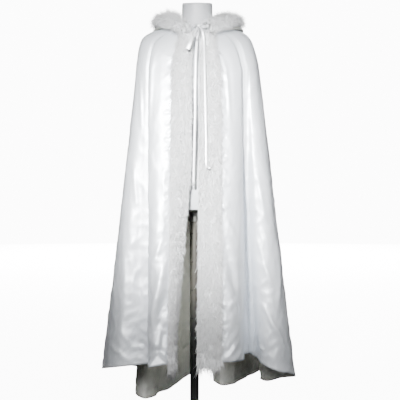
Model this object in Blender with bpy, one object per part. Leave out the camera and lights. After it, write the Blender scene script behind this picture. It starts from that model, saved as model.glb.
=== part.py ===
"""A hooded full-length cape with fur borders, worn by a limbless dress form on a stand.

Metres, +Z up. The front faces -Y and the origin is on the floor, on the pole's axis.
The cloth is one wall of even thickness. Its course is read from two short tables: YOKE holds
the rings from the neckline down to the chest, and FOLDS holds every fold round the hem, in
order from the left front edge, round the back, to the right front edge. Left and right are
as seen from the front.
"""
import math

import bmesh
import bpy
from mathutils import Vector

# Cloth and the gaps between pieces
WALL = 0.0022
GAP = 0.0004
SEAM = 0.00016
AXIS_X = 0.011

# Fur: how far it stands off the satin and how far it passes an edge and the hem
FUR_REACH = 0.027
FUR_PAST_EDGE = 0.007
FUR_BELOW_HEM = 0.016
FUR_BACKING = 0.0016
FUR_TOP_LEVEL = 2.2
EDGE_SHARE = 0.08

# Stand
BASE_RADIUS = 0.165
BASE_THICK = 0.009
POLE_RADIUS = 0.018
POLE_FIT = 0.0004
HUB_RADIUS = 0.028
HUB_TOP = 0.046
POLE_FOOT = 0.004
FORM_FOOT = 0.820
SOCKET_RADIUS = 0.025
SOCKET_LENGTH = 0.046
FLANGE_RADIUS = 0.048
FLANGE_THICK = 0.005
HOLE_RADIUS = 0.0035
HOLE_DEPTH = 0.004
HOLE_PITCH = 0.113
HOLE_TOP = 0.726
HOLE_COUNT = 6
HOLE_TURN = math.radians(-33)

# Ribbon
RIBBON_WIDTH = 0.010
RIBBON_THICK = 0.0012
KNOT = Vector((0.017, -0.1260, 1.533))
KNOT_SIZE = (0.018, 0.014, 0.013)

# The bow, as points from the knot's middle: x, y, z
LOOP_LEFT = (
    (-0.0083, 0.001, 0.001), (-0.020, -0.020, -0.012), (-0.025, -0.038, -0.034),
    (-0.016, -0.049, -0.051), (-0.004, -0.046, -0.042), (-0.001, -0.030, -0.024),
    (-0.001, -0.0105, -0.0070),
)
LOOP_RIGHT = (
    (0.0082, 0.0005, 0.0032), (0.018, -0.010, 0.0135), (0.031, -0.022, 0.014),
    (0.037, -0.028, 0.003), (0.029, -0.022, -0.007), (0.018, -0.011, -0.0075),
    (0.0092, -0.0015, -0.0036),
)
SHORT_END = (
    (-0.0040, -0.0016, -0.0052), (-0.012, -0.013, -0.022), (-0.022, -0.025, -0.044),
    (-0.034, -0.036, -0.066), (-0.046, -0.044, -0.086),
)
# The left tail hangs in the gap between the furs and the right one over the right fur
TAIL_LEFT = (
    (-0.0005, 0.0036, -0.0058), (-0.004, 0.001, -0.030), (-0.010, -0.013, -0.110),
    (-0.013, -0.020, -0.240), (-0.014, -0.021, -0.360), (-0.017, -0.021, -0.480),
    (-0.020, -0.022, -0.618),
)
TAIL_RIGHT_START = ((0.0040, 0.0004, -0.0056), (0.014, -0.014, -0.022))
TAIL_RIGHT = (
    (0.037, 1.470), (0.039, 1.390), (0.041, 1.290), (0.043, 1.190), (0.045, 1.090), (0.047, 0.986),
)
TAIL_LIFT = 0.0045
TIE_LEFT = 6.5
TIE_RIGHT = 355.5
TIE_LEVEL = 0.12
TIE_LIFT = 0.0040

# Where the cape rests on the form: the gap under the cloth
REST_GAP = 0.0016
NECKLINE_EASE = 0.013

# Hood, laid back: its gap to the cape at the neck, over the yoke and over the back's folds,
# and how far the bag's outer side stands off
HOOD_LIFT = 0.0015
HOOD_LIFT_YOKE = 0.0030
HOOD_LAYER_GAP = 0.0026
HOOD_LIFT_BACK = 0.0170
HOOD_PUFF = 0.062

YOKE_COLUMNS = ("left", "right", "front", "back", "side_z", "front_z", "back_z", "folds")
YOKE = (
    ("neckline", 0.078, 0.078, 0.080, 0.080, 1.556, 1.538, 1.572, 0.00),
    ("collar foot", 0.100, 0.100, 0.092, 0.096, 1.551, 1.521, 1.556, 0.00),
    ("yoke", 0.142, 0.143, 0.108, 0.116, 1.541, 1.487, 1.526, 0.00),
    ("shoulder", 0.187, 0.182, 0.119, 0.130, 1.527, 1.451, 1.492, 0.30),
    ("shoulder point", 0.218, 0.210, 0.127, 0.138, 1.503, 1.416, 1.455, 0.60),
    ("upper arm", 0.232, 0.227, 0.134, 0.145, 1.461, 1.380, 1.415, 0.85),
    ("chest", 0.241, 0.243, 0.142, 0.152, 1.400, 1.335, 1.365, 1.00),
)

# Where a fold lies at the hem (x, y, z), its angle on the chest ring (0 in front, 90 on the
# left, 180 behind), how far it stands out there already, and how far down it begins to open
FOLD_COLUMNS = ("x", "y", "z", "angle", "out", "opens")
FOLDS = (
    ("left edge", -0.088, -0.155, 0.250, 4.0, 0.000, 0.32),
    ("left fur seam", -0.100, -0.243, 0.255, 20.4, 0.004, 0.00),
    ("left inner crest", -0.140, -0.262, 0.248, 33.0, 0.009, 0.00),
    ("left inner fold", -0.172, -0.228, 0.243, 45.0, 0.012, 0.00),
    ("left front valley", -0.152, -0.160, 0.235, 50.5, -0.012, 0.00),
    ("left outer flank", -0.208, -0.150, 0.230, 57.0, -0.004, 0.00),
    ("left outer crest", -0.290, -0.158, 0.222, 70.0, 0.005, 0.00),
    ("left side", -0.362, -0.040, 0.194, 92.0, 0.000, 0.00),
    ("left back crest", -0.338, 0.110, 0.172, 112.0, 0.006, 0.00),
    ("left back turn", -0.275, 0.215, 0.158, 126.0, 0.002, 0.00),
    ("fold a neck", -0.230, 0.232, 0.140, 131.0, -0.003, 0.10),
    ("fold a outer", -0.236, 0.172, 0.100, 135.0, -0.006, 0.12),
    ("fold a left", -0.250, 0.122, 0.064, 139.0, -0.008, 0.12),
    ("fold a crest", -0.210, 0.080, 0.048, 143.0, -0.009, 0.12),
    ("fold a right", -0.166, 0.120, 0.046, 148.0, -0.007, 0.12),
    ("fold a inner", -0.150, 0.200, 0.045, 153.0, -0.002, 0.05),
    ("back left flank", -0.105, 0.270, 0.048, 160.0, 0.003, 0.00),
    ("back left crest", -0.045, 0.330, 0.082, 168.0, 0.006, 0.00),
    ("back centre", 0.025, 0.352, 0.120, 177.0, 0.006, 0.00),
    ("back right turn", 0.078, 0.305, 0.122, 184.0, 0.002, 0.00),
    ("fold b outer", 0.088, 0.210, 0.116, 189.0, -0.004, 0.12),
    ("fold b left", 0.074, 0.135, 0.112, 193.0, -0.008, 0.12),
    ("fold b crest", 0.108, 0.088, 0.100, 198.0, -0.009, 0.12),
    ("fold b right", 0.155, 0.122, 0.097, 204.0, -0.006, 0.12),
    ("right back flank", 0.200, 0.200, 0.100, 212.0, 0.000, 0.05),
    ("right back rise", 0.250, 0.280, 0.108, 222.0, 0.005, 0.00),
    ("right back crest", 0.300, 0.305, 0.125, 232.0, 0.006, 0.00),
    ("right back turn", 0.322, 0.245, 0.135, 240.0, 0.002, 0.00),
    ("fold c outer", 0.288, 0.175, 0.130, 245.0, -0.004, 0.12),
    ("fold c left", 0.270, 0.115, 0.120, 249.0, -0.006, 0.12),
    ("fold c crest", 0.298, 0.078, 0.119, 254.0, -0.006, 0.12),
    ("right back side", 0.352, 0.058, 0.136, 261.0, 0.000, 0.05),
    ("right side", 0.398, -0.012, 0.156, 270.0, 0.000, 0.00),
    ("right outer turn", 0.375, -0.105, 0.185, 284.0, 0.004, 0.00),
    ("right outer crest", 0.318, -0.150, 0.205, 296.0, 0.006, 0.00),
    ("right outer edge", 0.260, -0.128, 0.228, 306.0, 0.002, 0.00),
    ("right valley right", 0.240, -0.060, 0.245, 311.0, -0.006, 0.28),
    ("right valley", 0.216, -0.018, 0.250, 314.0, -0.010, 0.28),
    ("right valley left", 0.190, -0.070, 0.252, 317.0, -0.008, 0.28),
    ("right inner fold", 0.186, -0.205, 0.258, 320.5, 0.008, 0.00),
    ("right inner crest", 0.150, -0.268, 0.262, 331.0, 0.008, 0.00),
    ("right fur seam", 0.103, -0.285, 0.264, 341.0, 0.004, 0.00),
    ("right edge", 0.013, -0.275, 0.262, 358.0, 0.000, 0.00),
)

# Heights between the chest ring (0) and the hem (1) at which the wall is cut into rings
DROPS = (0.07, 0.15, 0.24, 0.34, 0.45, 0.56, 0.67, 0.78, 0.88, 0.955, 1.0)
CHEST_LEVEL = len(YOKE) - 1
HEM_LEVEL = CHEST_LEVEL + len(DROPS)

# A turned-out lip where the left front's hem has flipped up
LIP_AT = 1.9
LIP_SPREAD = 0.75
LIP_OUT = 0.022
LIP_FROM = 0.955

# The fur round the hood: angle, level on the yoke, lift off the cape, width and thickness
ROLL_COLUMNS = ("angle", "level", "lift", "width", "thick")
ROLL = (
    ("left bow end", 10.0, 1.00, 0.0010, 0.060, 0.034),
    ("left front", 27.0, 1.02, 0.0062, 0.076, 0.044),
    ("left shoulder front", 54.0, 1.20, 0.0100, 0.094, 0.054),
    ("left shoulder", 88.0, 1.50, 0.0103, 0.104, 0.059),
    ("left back", 130.0, 1.70, 0.0104, 0.092, 0.058),
    ("back", 180.0, 1.60, 0.0104, 0.084, 0.056),
    ("right back", 230.0, 1.70, 0.0104, 0.092, 0.058),
    ("right shoulder", 272.0, 1.65, 0.0103, 0.106, 0.059),
    ("right shoulder front", 306.0, 1.25, 0.0100, 0.094, 0.054),
    ("right front", 333.0, 1.02, 0.0062, 0.076, 0.044),
    ("right bow end", 348.0, 1.00, 0.0010, 0.060, 0.034),
)

# The hood's bag: angle round the neck, how deep it hangs, how full it is and where its rim lies
HOOD_COLUMNS = ("angle", "depth", "full", "rim")
HOOD = (
    ("left corner", 50.0, 1.75, 0.00, 1.45),
    ("left shoulder", 84.0, 2.30, 0.00, 2.05),
    ("left back", 116.0, 3.50, 0.20, 2.75),
    ("left bag", 148.0, 6.80, 0.85, 2.75),
    ("bag", 180.0, 7.90, 1.00, 2.70),
    ("right bag", 212.0, 6.80, 0.85, 2.75),
    ("right back", 244.0, 3.50, 0.20, 2.75),
    ("right shoulder", 276.0, 2.75, 0.02, 2.55),
    ("right corner", 310.0, 1.75, 0.00, 1.45),
)

# The dress form: horizontal rings below the shoulders, and the neck above them
NECK_RINGS = (
    # name, z, half width, front, back
    ("neck low", 1.5800, 0.0620, 0.0615, 0.0620),
    ("neck high", 1.6350, 0.0610, 0.0610, 0.0610),
    ("neck rim", 1.6450, 0.0600, 0.0600, 0.0600),
    ("neck cap", 1.6480, 0.0570, 0.0570, 0.0570),
)
BODY_RINGS = (
    ("shoulder ball", 1.4980, 0.186, 0.098, 0.108),
    ("arm top", 1.4600, 0.196, 0.102, 0.112),
    ("chest high", 1.4000, 0.194, 0.110, 0.114),
    ("bust", 1.3000, 0.178, 0.124, 0.110),
    ("under bust", 1.1800, 0.150, 0.106, 0.098),
    ("waist", 1.0700, 0.127, 0.090, 0.086),
    ("high hip", 0.9600, 0.154, 0.102, 0.106),
    ("hip", 0.8700, 0.170, 0.108, 0.118),
    ("foot", 0.8280, 0.168, 0.106, 0.116),
    ("foot edge", 0.8200, 0.161, 0.099, 0.109),
)
FORM_SIDES = 28
CAP_TILT = math.radians(11)
CAP_PIVOT = 1.640


def material(name, colour, roughness, metallic=0.0):
    made = bpy.data.materials.new(name)
    made.use_nodes = True
    shader = made.node_tree.nodes["Principled BSDF"]
    shader.inputs["Base Color"].default_value = (*colour, 1.0)
    shader.inputs["Roughness"].default_value = roughness
    shader.inputs["Metallic"].default_value = metallic
    return made


def smooth_row(rows, spots, at):
    """Values at a fractional row, on a curve that passes through every row."""
    index = min(int(at), len(rows) - 2)
    share = at - index
    here, there = rows[index], rows[index + 1]
    before = rows[index - 1] if index > 0 else [2 * a - b for a, b in zip(here, there)]
    after = rows[index + 2] if index + 2 < len(rows) else [2 * b - a for a, b in zip(here, there)]
    middle = spots[index + 1] - spots[index]
    first = spots[index] - spots[index - 1] if index > 0 else middle
    last = spots[index + 2] - spots[index + 1] if index + 2 < len(rows) else middle
    values = []
    for a, b, c, d in zip(before, here, there, after):
        leave = ((b - a) / first - (c - a) / (first + middle) + (c - b) / middle) * middle
        reach = ((c - b) / middle - (d - b) / (middle + last) + (d - c) / last) * middle
        cubic = 2 * b - 2 * c + leave + reach
        square = -3 * b + 3 * c - 2 * leave - reach
        values.append(((cubic * share + square) * share + leave) * share + b)
    return values


def centripetal(rows, size):
    """Spacing of the rows along a smooth curve, from the distance between neighbours."""
    spots = [0.0]
    for first, second in zip(rows, rows[1:]):
        spots.append(spots[-1] + math.sqrt(math.dist(first[:size], second[:size])))
    return spots


FOLD_ROWS = [row[1:] for row in FOLDS]
FOLD_SPOTS = centripetal(FOLD_ROWS, 2)
YOKE_ROWS = [row[1:] for row in YOKE]
YOKE_SPOTS = list(range(len(YOKE_ROWS)))
ROLL_ROWS = [row[1:] for row in ROLL]
ROLL_SPOTS = list(range(len(ROLL_ROWS)))
HOOD_ROWS = [row[1:] for row in HOOD]
HOOD_SPOTS = list(range(len(HOOD_ROWS)))


def fold_index(name):
    return [row[0] for row in FOLDS].index(name)


def signed_power(value, power):
    return math.copysign(abs(value) ** power, value)


def ring_point(angle, level, out=0.0):
    """A point on the yoke, at an angle in degrees and a level from 0 to CHEST_LEVEL."""
    ring = dict(zip(YOKE_COLUMNS, smooth_row(YOKE_ROWS, YOKE_SPOTS, level)))
    side, ahead = math.sin(math.radians(angle)), math.cos(math.radians(angle))
    stand = out * ring["folds"]
    across = (ring["left"] if side > 0 else ring["right"]) + stand
    along = (ring["front"] if ahead > 0 else ring["back"]) + stand
    squareness = 0.88
    x = AXIS_X - across * signed_power(side, squareness)
    y = -along * signed_power(ahead, squareness)
    end_z = ring["front_z"] if ahead > 0 else ring["back_z"]
    z = ring["side_z"] * side ** 2 + end_z * ahead ** 2
    return Vector((x, y, z))


def drop_at(level):
    """How far down a level lies between the chest ring (0) and the hem (1)."""
    steps = (0.0, *DROPS)
    below = min(max(level - CHEST_LEVEL, 0.0), len(DROPS))
    index = min(int(below), len(DROPS) - 1)
    return steps[index] + (steps[index + 1] - steps[index]) * (below - index)


def cape_point(fold, level):
    """A point on the cape's outer face, at a fractional fold row and a level."""
    row = dict(zip(FOLD_COLUMNS, smooth_row(FOLD_ROWS, FOLD_SPOTS, fold)))
    if level <= CHEST_LEVEL:
        return ring_point(row["angle"], level, row["out"])
    top = ring_point(row["angle"], CHEST_LEVEL, row["out"])
    drop = drop_at(level)
    opens = min(max(row["opens"], 0.0), 0.9)
    spread = max(0.0, (drop - opens) / (1.0 - opens))
    x = top.x + (row["x"] - top.x) * spread
    y = top.y + (row["y"] - top.y) * spread
    z = top.z + (row["z"] - top.z) * drop
    lip = max(0.0, 1 - ((fold - LIP_AT) / LIP_SPREAD) ** 2) * max(0.0, drop - LIP_FROM)
    y -= LIP_OUT * lip / (1 - LIP_FROM)
    return Vector((x, y, z))


def cape_frame(fold, level):
    """The outer point, the direction round the cape and the outward normal there."""
    step = 0.02
    last = len(FOLDS) - 1
    ahead = cape_point(min(fold + step, last), level)
    behind = cape_point(max(fold - step, 0.0), level)
    along = (ahead - behind).normalized()
    lower = cape_point(fold, min(level + step, HEM_LEVEL))
    upper = cape_point(fold, max(level - step, 0.0))
    down = (lower - upper).normalized()
    return cape_point(fold, level), along, along.cross(down).normalized()


def solid(name, vertices, faces, finish, smooth=True):
    mesh = bpy.data.meshes.new(name)
    mesh.from_pydata([tuple(vertex) for vertex in vertices], [], faces)
    work = bmesh.new()
    work.from_mesh(mesh)
    bmesh.ops.recalc_face_normals(work, faces=work.faces)
    bmesh.ops.triangulate(work, faces=[face for face in work.faces if len(face.verts) > 3])
    work.to_mesh(mesh)
    work.free()
    if smooth:
        mesh.shade_smooth()
        mesh.set_sharp_from_angle(angle=math.radians(40))
    mesh.materials.append(finish)
    piece = bpy.data.objects.new(name, mesh)
    bpy.context.collection.objects.link(piece)
    return piece


def wall(name, outer, inner, finish):
    """A closed wall between two grids of points, each a list of rows."""
    rows, columns = len(outer), len(outer[0])
    vertices = [point for grid in (outer, inner) for row in grid for point in row]
    offset = rows * columns

    def number(side, row, column):
        return side * offset + row * columns + column

    faces = []
    for row in range(rows - 1):
        for column in range(columns - 1):
            corners = ((row, column), (row, column + 1), (row + 1, column + 1), (row + 1, column))
            faces.append([number(0, *corner) for corner in corners])
            faces.append([number(1, *corner) for corner in reversed(corners)])
    border = [(0, column) for column in range(columns)]
    border += [(row, columns - 1) for row in range(1, rows)]
    border += [(rows - 1, column) for column in range(columns - 2, -1, -1)]
    border += [(row, 0) for row in range(rows - 2, 0, -1)]
    for first, second in zip(border, border[1:] + border[:1]):
        faces.append([number(0, *second), number(0, *first), number(1, *first), number(1, *second)])
    return solid(name, vertices, faces, finish)


def tube(name, rings, finish, smooth=True):
    """A closed body through rings of points, with a flat cap on each end."""
    sides = len(rings[0])
    vertices = [point for ring in rings for point in ring]
    faces = []
    for row in range(len(rings) - 1):
        for side in range(sides):
            after = (side + 1) % sides
            low, high = row * sides, (row + 1) * sides
            faces.append([low + side, low + after, high + after, high + side])
    faces.append(list(range(sides))[::-1])
    faces.append([len(vertices) - sides + side for side in range(sides)])
    return solid(name, vertices, faces, finish, smooth)


def cape_panel(name, first, last, finish, samples=2):
    """One cut piece of satin, from one row of FOLDS to another, just short of both seams."""
    start, end = fold_index(first), fold_index(last)
    count = (end - start) * samples
    outer, inner = [], []
    for level in range(HEM_LEVEL + 1):
        outer_row, inner_row = [], []
        for step in range(count + 1):
            point, along, normal = cape_frame(start + step / samples, level)
            if step == 0 and start > 0:
                point = point + along * SEAM
            if step == count and end < len(FOLDS) - 1:
                point = point - along * SEAM
            outer_row.append(point)
            inner_row.append(point - normal * WALL)
        outer.append(outer_row)
        inner.append(inner_row)
    return wall(name, outer, inner, finish)


def fur_band(name, edge, seam, finish):
    """The puffy fur down a front, laid on the satin between its edge and the fur seam."""
    rings = []
    across = 7
    edge_row, seam_row = fold_index(edge), fold_index(seam)
    side = 1 if seam_row > edge_row else -1
    levels = [FUR_TOP_LEVEL] + list(range(3, HEM_LEVEL + 1)) + [HEM_LEVEL]
    for index, level in enumerate(levels):
        below = FUR_BELOW_HEM if index == len(levels) - 1 else 0.0
        swell = 0.72 if index in (0, len(levels) - 1) else 1.0
        ring = []
        for step in range(across + 1):
            share = step / across
            ring.append(band_point(edge_row, seam_row, side, level, share, swell, below))
        for share in (1.0, (1 + EDGE_SHARE) / 2, EDGE_SHARE, 0.0):
            ring.append(band_point(edge_row, seam_row, side, level, share, 0.0, below))
        rings.append(ring)
    return tube(name, rings, finish)


def band_point(edge_row, seam_row, side, level, share, swell, below):
    """A point on a fur band: share runs from the front edge (0) to the seam (1)."""
    on_satin = max(share - EDGE_SHARE, 0.0) / (1 - EDGE_SHARE)
    fold = edge_row + (seam_row - edge_row) * on_satin
    point, along, normal = cape_frame(fold, level)
    past = max(0.0, EDGE_SHARE - share) / EDGE_SHARE
    point = point - along * side * past * FUR_PAST_EDGE
    profile = (1 - abs(2 * share - 1) ** 3) ** 0.5
    clear = GAP + FUR_BACKING * math.sin(math.pi * share)
    point = point + normal * (clear + swell * (0.004 + (FUR_REACH - 0.004) * profile))
    return point - Vector((0, 0, below))


def ring_normal(angle, level):
    """The outward normal of the smooth yoke."""
    low = max(level - 0.05, 0.0)
    along = ring_point(angle + 1, level) - ring_point(angle - 1, level)
    down = ring_point(angle, level + 0.05) - ring_point(angle, low)
    return along.cross(down).normalized()


def roll_frame(at):
    """Centre, direction, upward and sideways vectors, width and thickness of the hood's fur."""
    row = dict(zip(ROLL_COLUMNS, smooth_row(ROLL_ROWS, ROLL_SPOTS, at)))
    normal = ring_normal(row["angle"], row["level"])
    centre = ring_point(row["angle"], row["level"]) + normal * (row["lift"] + row["thick"] / 2)
    return centre, normal, row["width"], row["thick"]


def fur_roll(name, finish, count=30, sides=12):
    centres = [roll_frame(step * (len(ROLL) - 1) / count) for step in range(count + 1)]
    rings = []
    for index, (centre, normal, width, thick) in enumerate(centres):
        ahead = centres[min(index + 1, count)][0]
        behind = centres[max(index - 1, 0)][0]
        direction = (ahead - behind).normalized()
        sideways = direction.cross(normal).normalized()
        upward = sideways.cross(direction).normalized()
        shrink = 0.86 if index in (0, count) else 1.0
        ring = []
        for side in range(sides):
            turn = 2 * math.pi * side / sides
            reach = sideways * math.cos(turn) * width / 2 + upward * math.sin(turn) * thick / 2
            ring.append(centre + reach * shrink)
        rings.append(ring)
    return tube(name, rings, finish)


def smooth_back(angle, level):
    """The back of the cape with its folds ironed out, for what hangs over it."""
    if level <= CHEST_LEVEL:
        return ring_point(angle, level)
    chest = ring_point(angle, CHEST_LEVEL)
    flare = 0.020 * (level - CHEST_LEVEL)
    away = Vector((chest.x - AXIS_X, chest.y, 0)).normalized()
    return chest + away * flare + Vector((0, 0, -0.085 * (level - CHEST_LEVEL)))


def hood_point(at, share):
    """A point on the hood, from the neckline (0), down into the bag and up to the rim (1)."""
    row = dict(zip(HOOD_COLUMNS, smooth_row(HOOD_ROWS, HOOD_SPOTS, at)))
    start, full = 0.15, max(row["full"], 0.0)
    turn = 0.5
    if share <= turn:
        level = start + (row["depth"] - start) * math.sin(share / turn * math.pi / 2)
        stand = 0.0
    else:
        back = (share - turn) / (1 - turn)
        level = row["depth"] + (row["rim"] - row["depth"]) * (1 - math.cos(back * math.pi / 2))
        belly = math.sin(min(back * 1.25, 1.0) * math.pi / 2)
        stand = HOOD_LAYER_GAP + HOOD_PUFF * full * belly
    here = smooth_back(row["angle"], level)
    step = 0.05
    along = smooth_back(row["angle"] + 1, level) - smooth_back(row["angle"] - 1, level)
    down = smooth_back(row["angle"], level + step) - smooth_back(row["angle"], max(level - step, 0))
    normal = along.cross(down).normalized()
    lift = HOOD_LIFT + (HOOD_LIFT_YOKE - HOOD_LIFT) * min(level, 1.0)
    lift += (HOOD_LIFT_BACK - HOOD_LIFT_YOKE) * min(max(level - 2.2, 0.0), 2.8) / 2.8
    return here + normal * (WALL + lift + stand)


def hood_half(name, first, last, finish, columns=16, rows=16):
    outer, inner = [], []
    step = 0.01
    for row in range(rows + 1):
        share = row / rows
        outer_row, inner_row = [], []
        for column in range(columns + 1):
            at = first + (last - first) * column / columns
            low, high = max(at - step, 0.0), min(at + step, len(HOOD) - 1.0)
            point = hood_point(at, share)
            along = (hood_point(high, share) - hood_point(low, share)).normalized()
            down = hood_point(at, min(share + step, 1.0)) - hood_point(at, max(share - step, 0.0))
            normal = along.cross(down).normalized()
            if column == 0 and first > 0:
                point = point + along * SEAM
            if column == columns and last < len(HOOD) - 1:
                point = point - along * SEAM
            outer_row.append(point)
            inner_row.append(point - normal * WALL)
        outer.append(outer_row)
        inner.append(inner_row)
    return wall(name, outer, inner, finish)


def form_ring(z, width, front, back):
    ring = []
    for side in range(FORM_SIDES):
        angle = 2 * math.pi * side / FORM_SIDES
        across, ahead = math.sin(angle), math.cos(angle)
        depth = front if ahead > 0 else back
        squareness = 0.92
        x = AXIS_X - width * signed_power(across, squareness)
        y = -depth * signed_power(ahead, squareness)
        lift = y * math.tan(CAP_TILT) if z > CAP_PIVOT else 0.0
        ring.append(Vector((x, y, z + lift)))
    return ring


def under_yoke(level):
    """A ring of the form, just inside the cape's yoke, where the cloth rests on it."""
    ring = []
    for side in range(FORM_SIDES):
        angle = 360 * side / FORM_SIDES
        inside = ring_normal(angle, level) * (WALL + REST_GAP)
        ring.append(ring_point(angle, level) - inside)
    return ring


def neck_foot():
    """The foot of the neck, in the middle of the cape's neckline."""
    ring = []
    for side in range(FORM_SIDES):
        point = ring_point(360 * side / FORM_SIDES, 0.0)
        inward = Vector((AXIS_X - point.x, -point.y, 0)).normalized()
        ring.append(point + inward * NECKLINE_EASE - Vector((0, 0, WALL)))
    return ring


def dress_form(finish):
    rings = [form_ring(*row[1:]) for row in reversed(NECK_RINGS)]
    rings.append(neck_foot())
    rings += [under_yoke(level) for level in (0.35, 1.0, 1.6, 2.2)]
    rings += [form_ring(*row[1:]) for row in BODY_RINGS]
    return tube("dress_form", rings, finish)


def turned(name, profile, sides, finish):
    """A round solid from a profile of radius and height, read from the bottom up."""
    rings = []
    for radius, z in profile:
        turns = [2 * math.pi * side / sides for side in range(sides)]
        rings.append([Vector((radius * math.cos(t), radius * math.sin(t), z)) for t in turns])
    return tube(name, rings, finish)


def adjusting_holes(pole):
    """A row of blind holes down the pole, for the height peg."""
    for index in range(HOLE_COUNT):
        height = HOLE_TOP - index * HOLE_PITCH
        bpy.ops.mesh.primitive_cylinder_add(vertices=8, radius=HOLE_RADIUS, depth=2 * HOLE_DEPTH)
        cutter = bpy.context.object
        cutter.name = f"hole_cutter_{index + 1}"
        cutter.rotation_euler = (math.pi / 2, 0, HOLE_TURN)
        cutter.location = (
            POLE_RADIUS * math.sin(HOLE_TURN), -POLE_RADIUS * math.cos(HOLE_TURN), height)
        cutter.hide_render = True
        cutter.display_type = "WIRE"
        cut = pole.modifiers.new(f"hole {index + 1}", "BOOLEAN")
        cut.operation = "DIFFERENCE"
        cut.solver = "EXACT"
        cut.object = cutter


def ribbon(name, middles, sides, finish, gathered_ends=1, samples=3):
    """A flat ribbon along a smooth line of points, each with the direction of its width.

    It is gathered to half its width where it leaves the knot, at one end or at both."""
    rows = [(*middle, *side) for middle, side in zip(middles, sides)]
    spots = centripetal(rows, 3)
    count = (len(rows) - 1) * samples
    read = [smooth_row(rows, spots, step / samples) for step in range(count + 1)]
    rings = []
    for index, values in enumerate(read):
        point = Vector(values[:3])
        ahead = Vector(read[min(index + 1, count)][:3])
        behind = Vector(read[max(index - 1, 0)][:3])
        direction = (ahead - behind).normalized()
        width = Vector(values[3:])
        from_knot = index if gathered_ends == 1 else min(index, count - index)
        gather = min(1.0, 0.45 + 0.55 * from_knot / samples)
        width = (width - direction * width.dot(direction)).normalized() * RIBBON_WIDTH / 2 * gather
        thick = direction.cross(width).normalized() * RIBBON_THICK / 2
        rings.append([point + width + thick, point + width - thick,
                      point - width - thick, point - width + thick])
    return tube(name, rings, finish, smooth=False)


def on_fur(x, z, edge, seam, lift):
    """A point just in front of a fur band, at a given x and z."""
    edge_row, seam_row = fold_index(edge), fold_index(seam)
    best = None
    for level_step in range(0, 4 * HEM_LEVEL + 1):
        level = level_step / 4
        for share_step in range(21):
            share = share_step / 20
            side = 1 if seam_row > edge_row else -1
            point = band_point(edge_row, seam_row, side, level, share, 1.0, 0.0)
            miss = math.hypot(point.x - x, point.z - z)
            if best is None or miss < best[0]:
                best = (miss, point)
    return Vector((x, best[1].y - lift, z))


def knot(finish):
    bpy.ops.mesh.primitive_cube_add(size=1, location=(0, 0, 0))
    piece = bpy.context.object
    piece.name = "ribbon_knot"
    for vertex in piece.data.vertices:
        vertex.co = Vector([part * size for part, size in zip(vertex.co, KNOT_SIZE)])
    rounded = piece.modifiers.new("rounded", "SUBSURF")
    rounded.levels = 2
    rounded.render_levels = 2
    piece.location = KNOT
    piece.data.materials.append(finish)
    return piece


def ribbons(finish):
    knot(finish)
    facing, upright, deep = Vector((1, 0, 0)), Vector((0, 0, 1)), Vector((0, -0.6, 0.8))

    def lay(name, offsets, side, gathered_ends=1):
        """A ribbon through points given from the knot's middle."""
        middles = [KNOT + Vector(offset) for offset in offsets]
        ribbon(name, middles, [side] * len(middles), finish, gathered_ends)

    lay("ribbon_loop_left", LOOP_LEFT, deep, 2)
    lay("ribbon_loop_right", LOOP_RIGHT, deep, 2)
    lay("ribbon_end_short", SHORT_END, Vector((0.8, 0, -0.6)))
    lay("ribbon_tail_left", TAIL_LEFT, facing)
    tail = [KNOT + Vector(offset) for offset in TAIL_RIGHT_START]
    tail += [on_fur(x, z, "right edge", "right fur seam", TAIL_LIFT) for x, z in TAIL_RIGHT]
    ribbon("ribbon_tail_right", tail, [facing] * len(tail), finish)
    for name, angle, side in (("ribbon_tie_left", TIE_LEFT, -1), ("ribbon_tie_right", TIE_RIGHT, 1)):
        sewn = ring_point(angle, TIE_LEVEL) + ring_normal(angle, TIE_LEVEL) * TIE_LIFT
        reach = KNOT + Vector((side * 0.0035, 0.0060, 0.001))
        middle = (sewn + reach) / 2 + Vector((0, 0, 0.004))
        ribbon(name, [reach, middle, sewn], [upright + facing * 0.4] * 3, finish)


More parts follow.
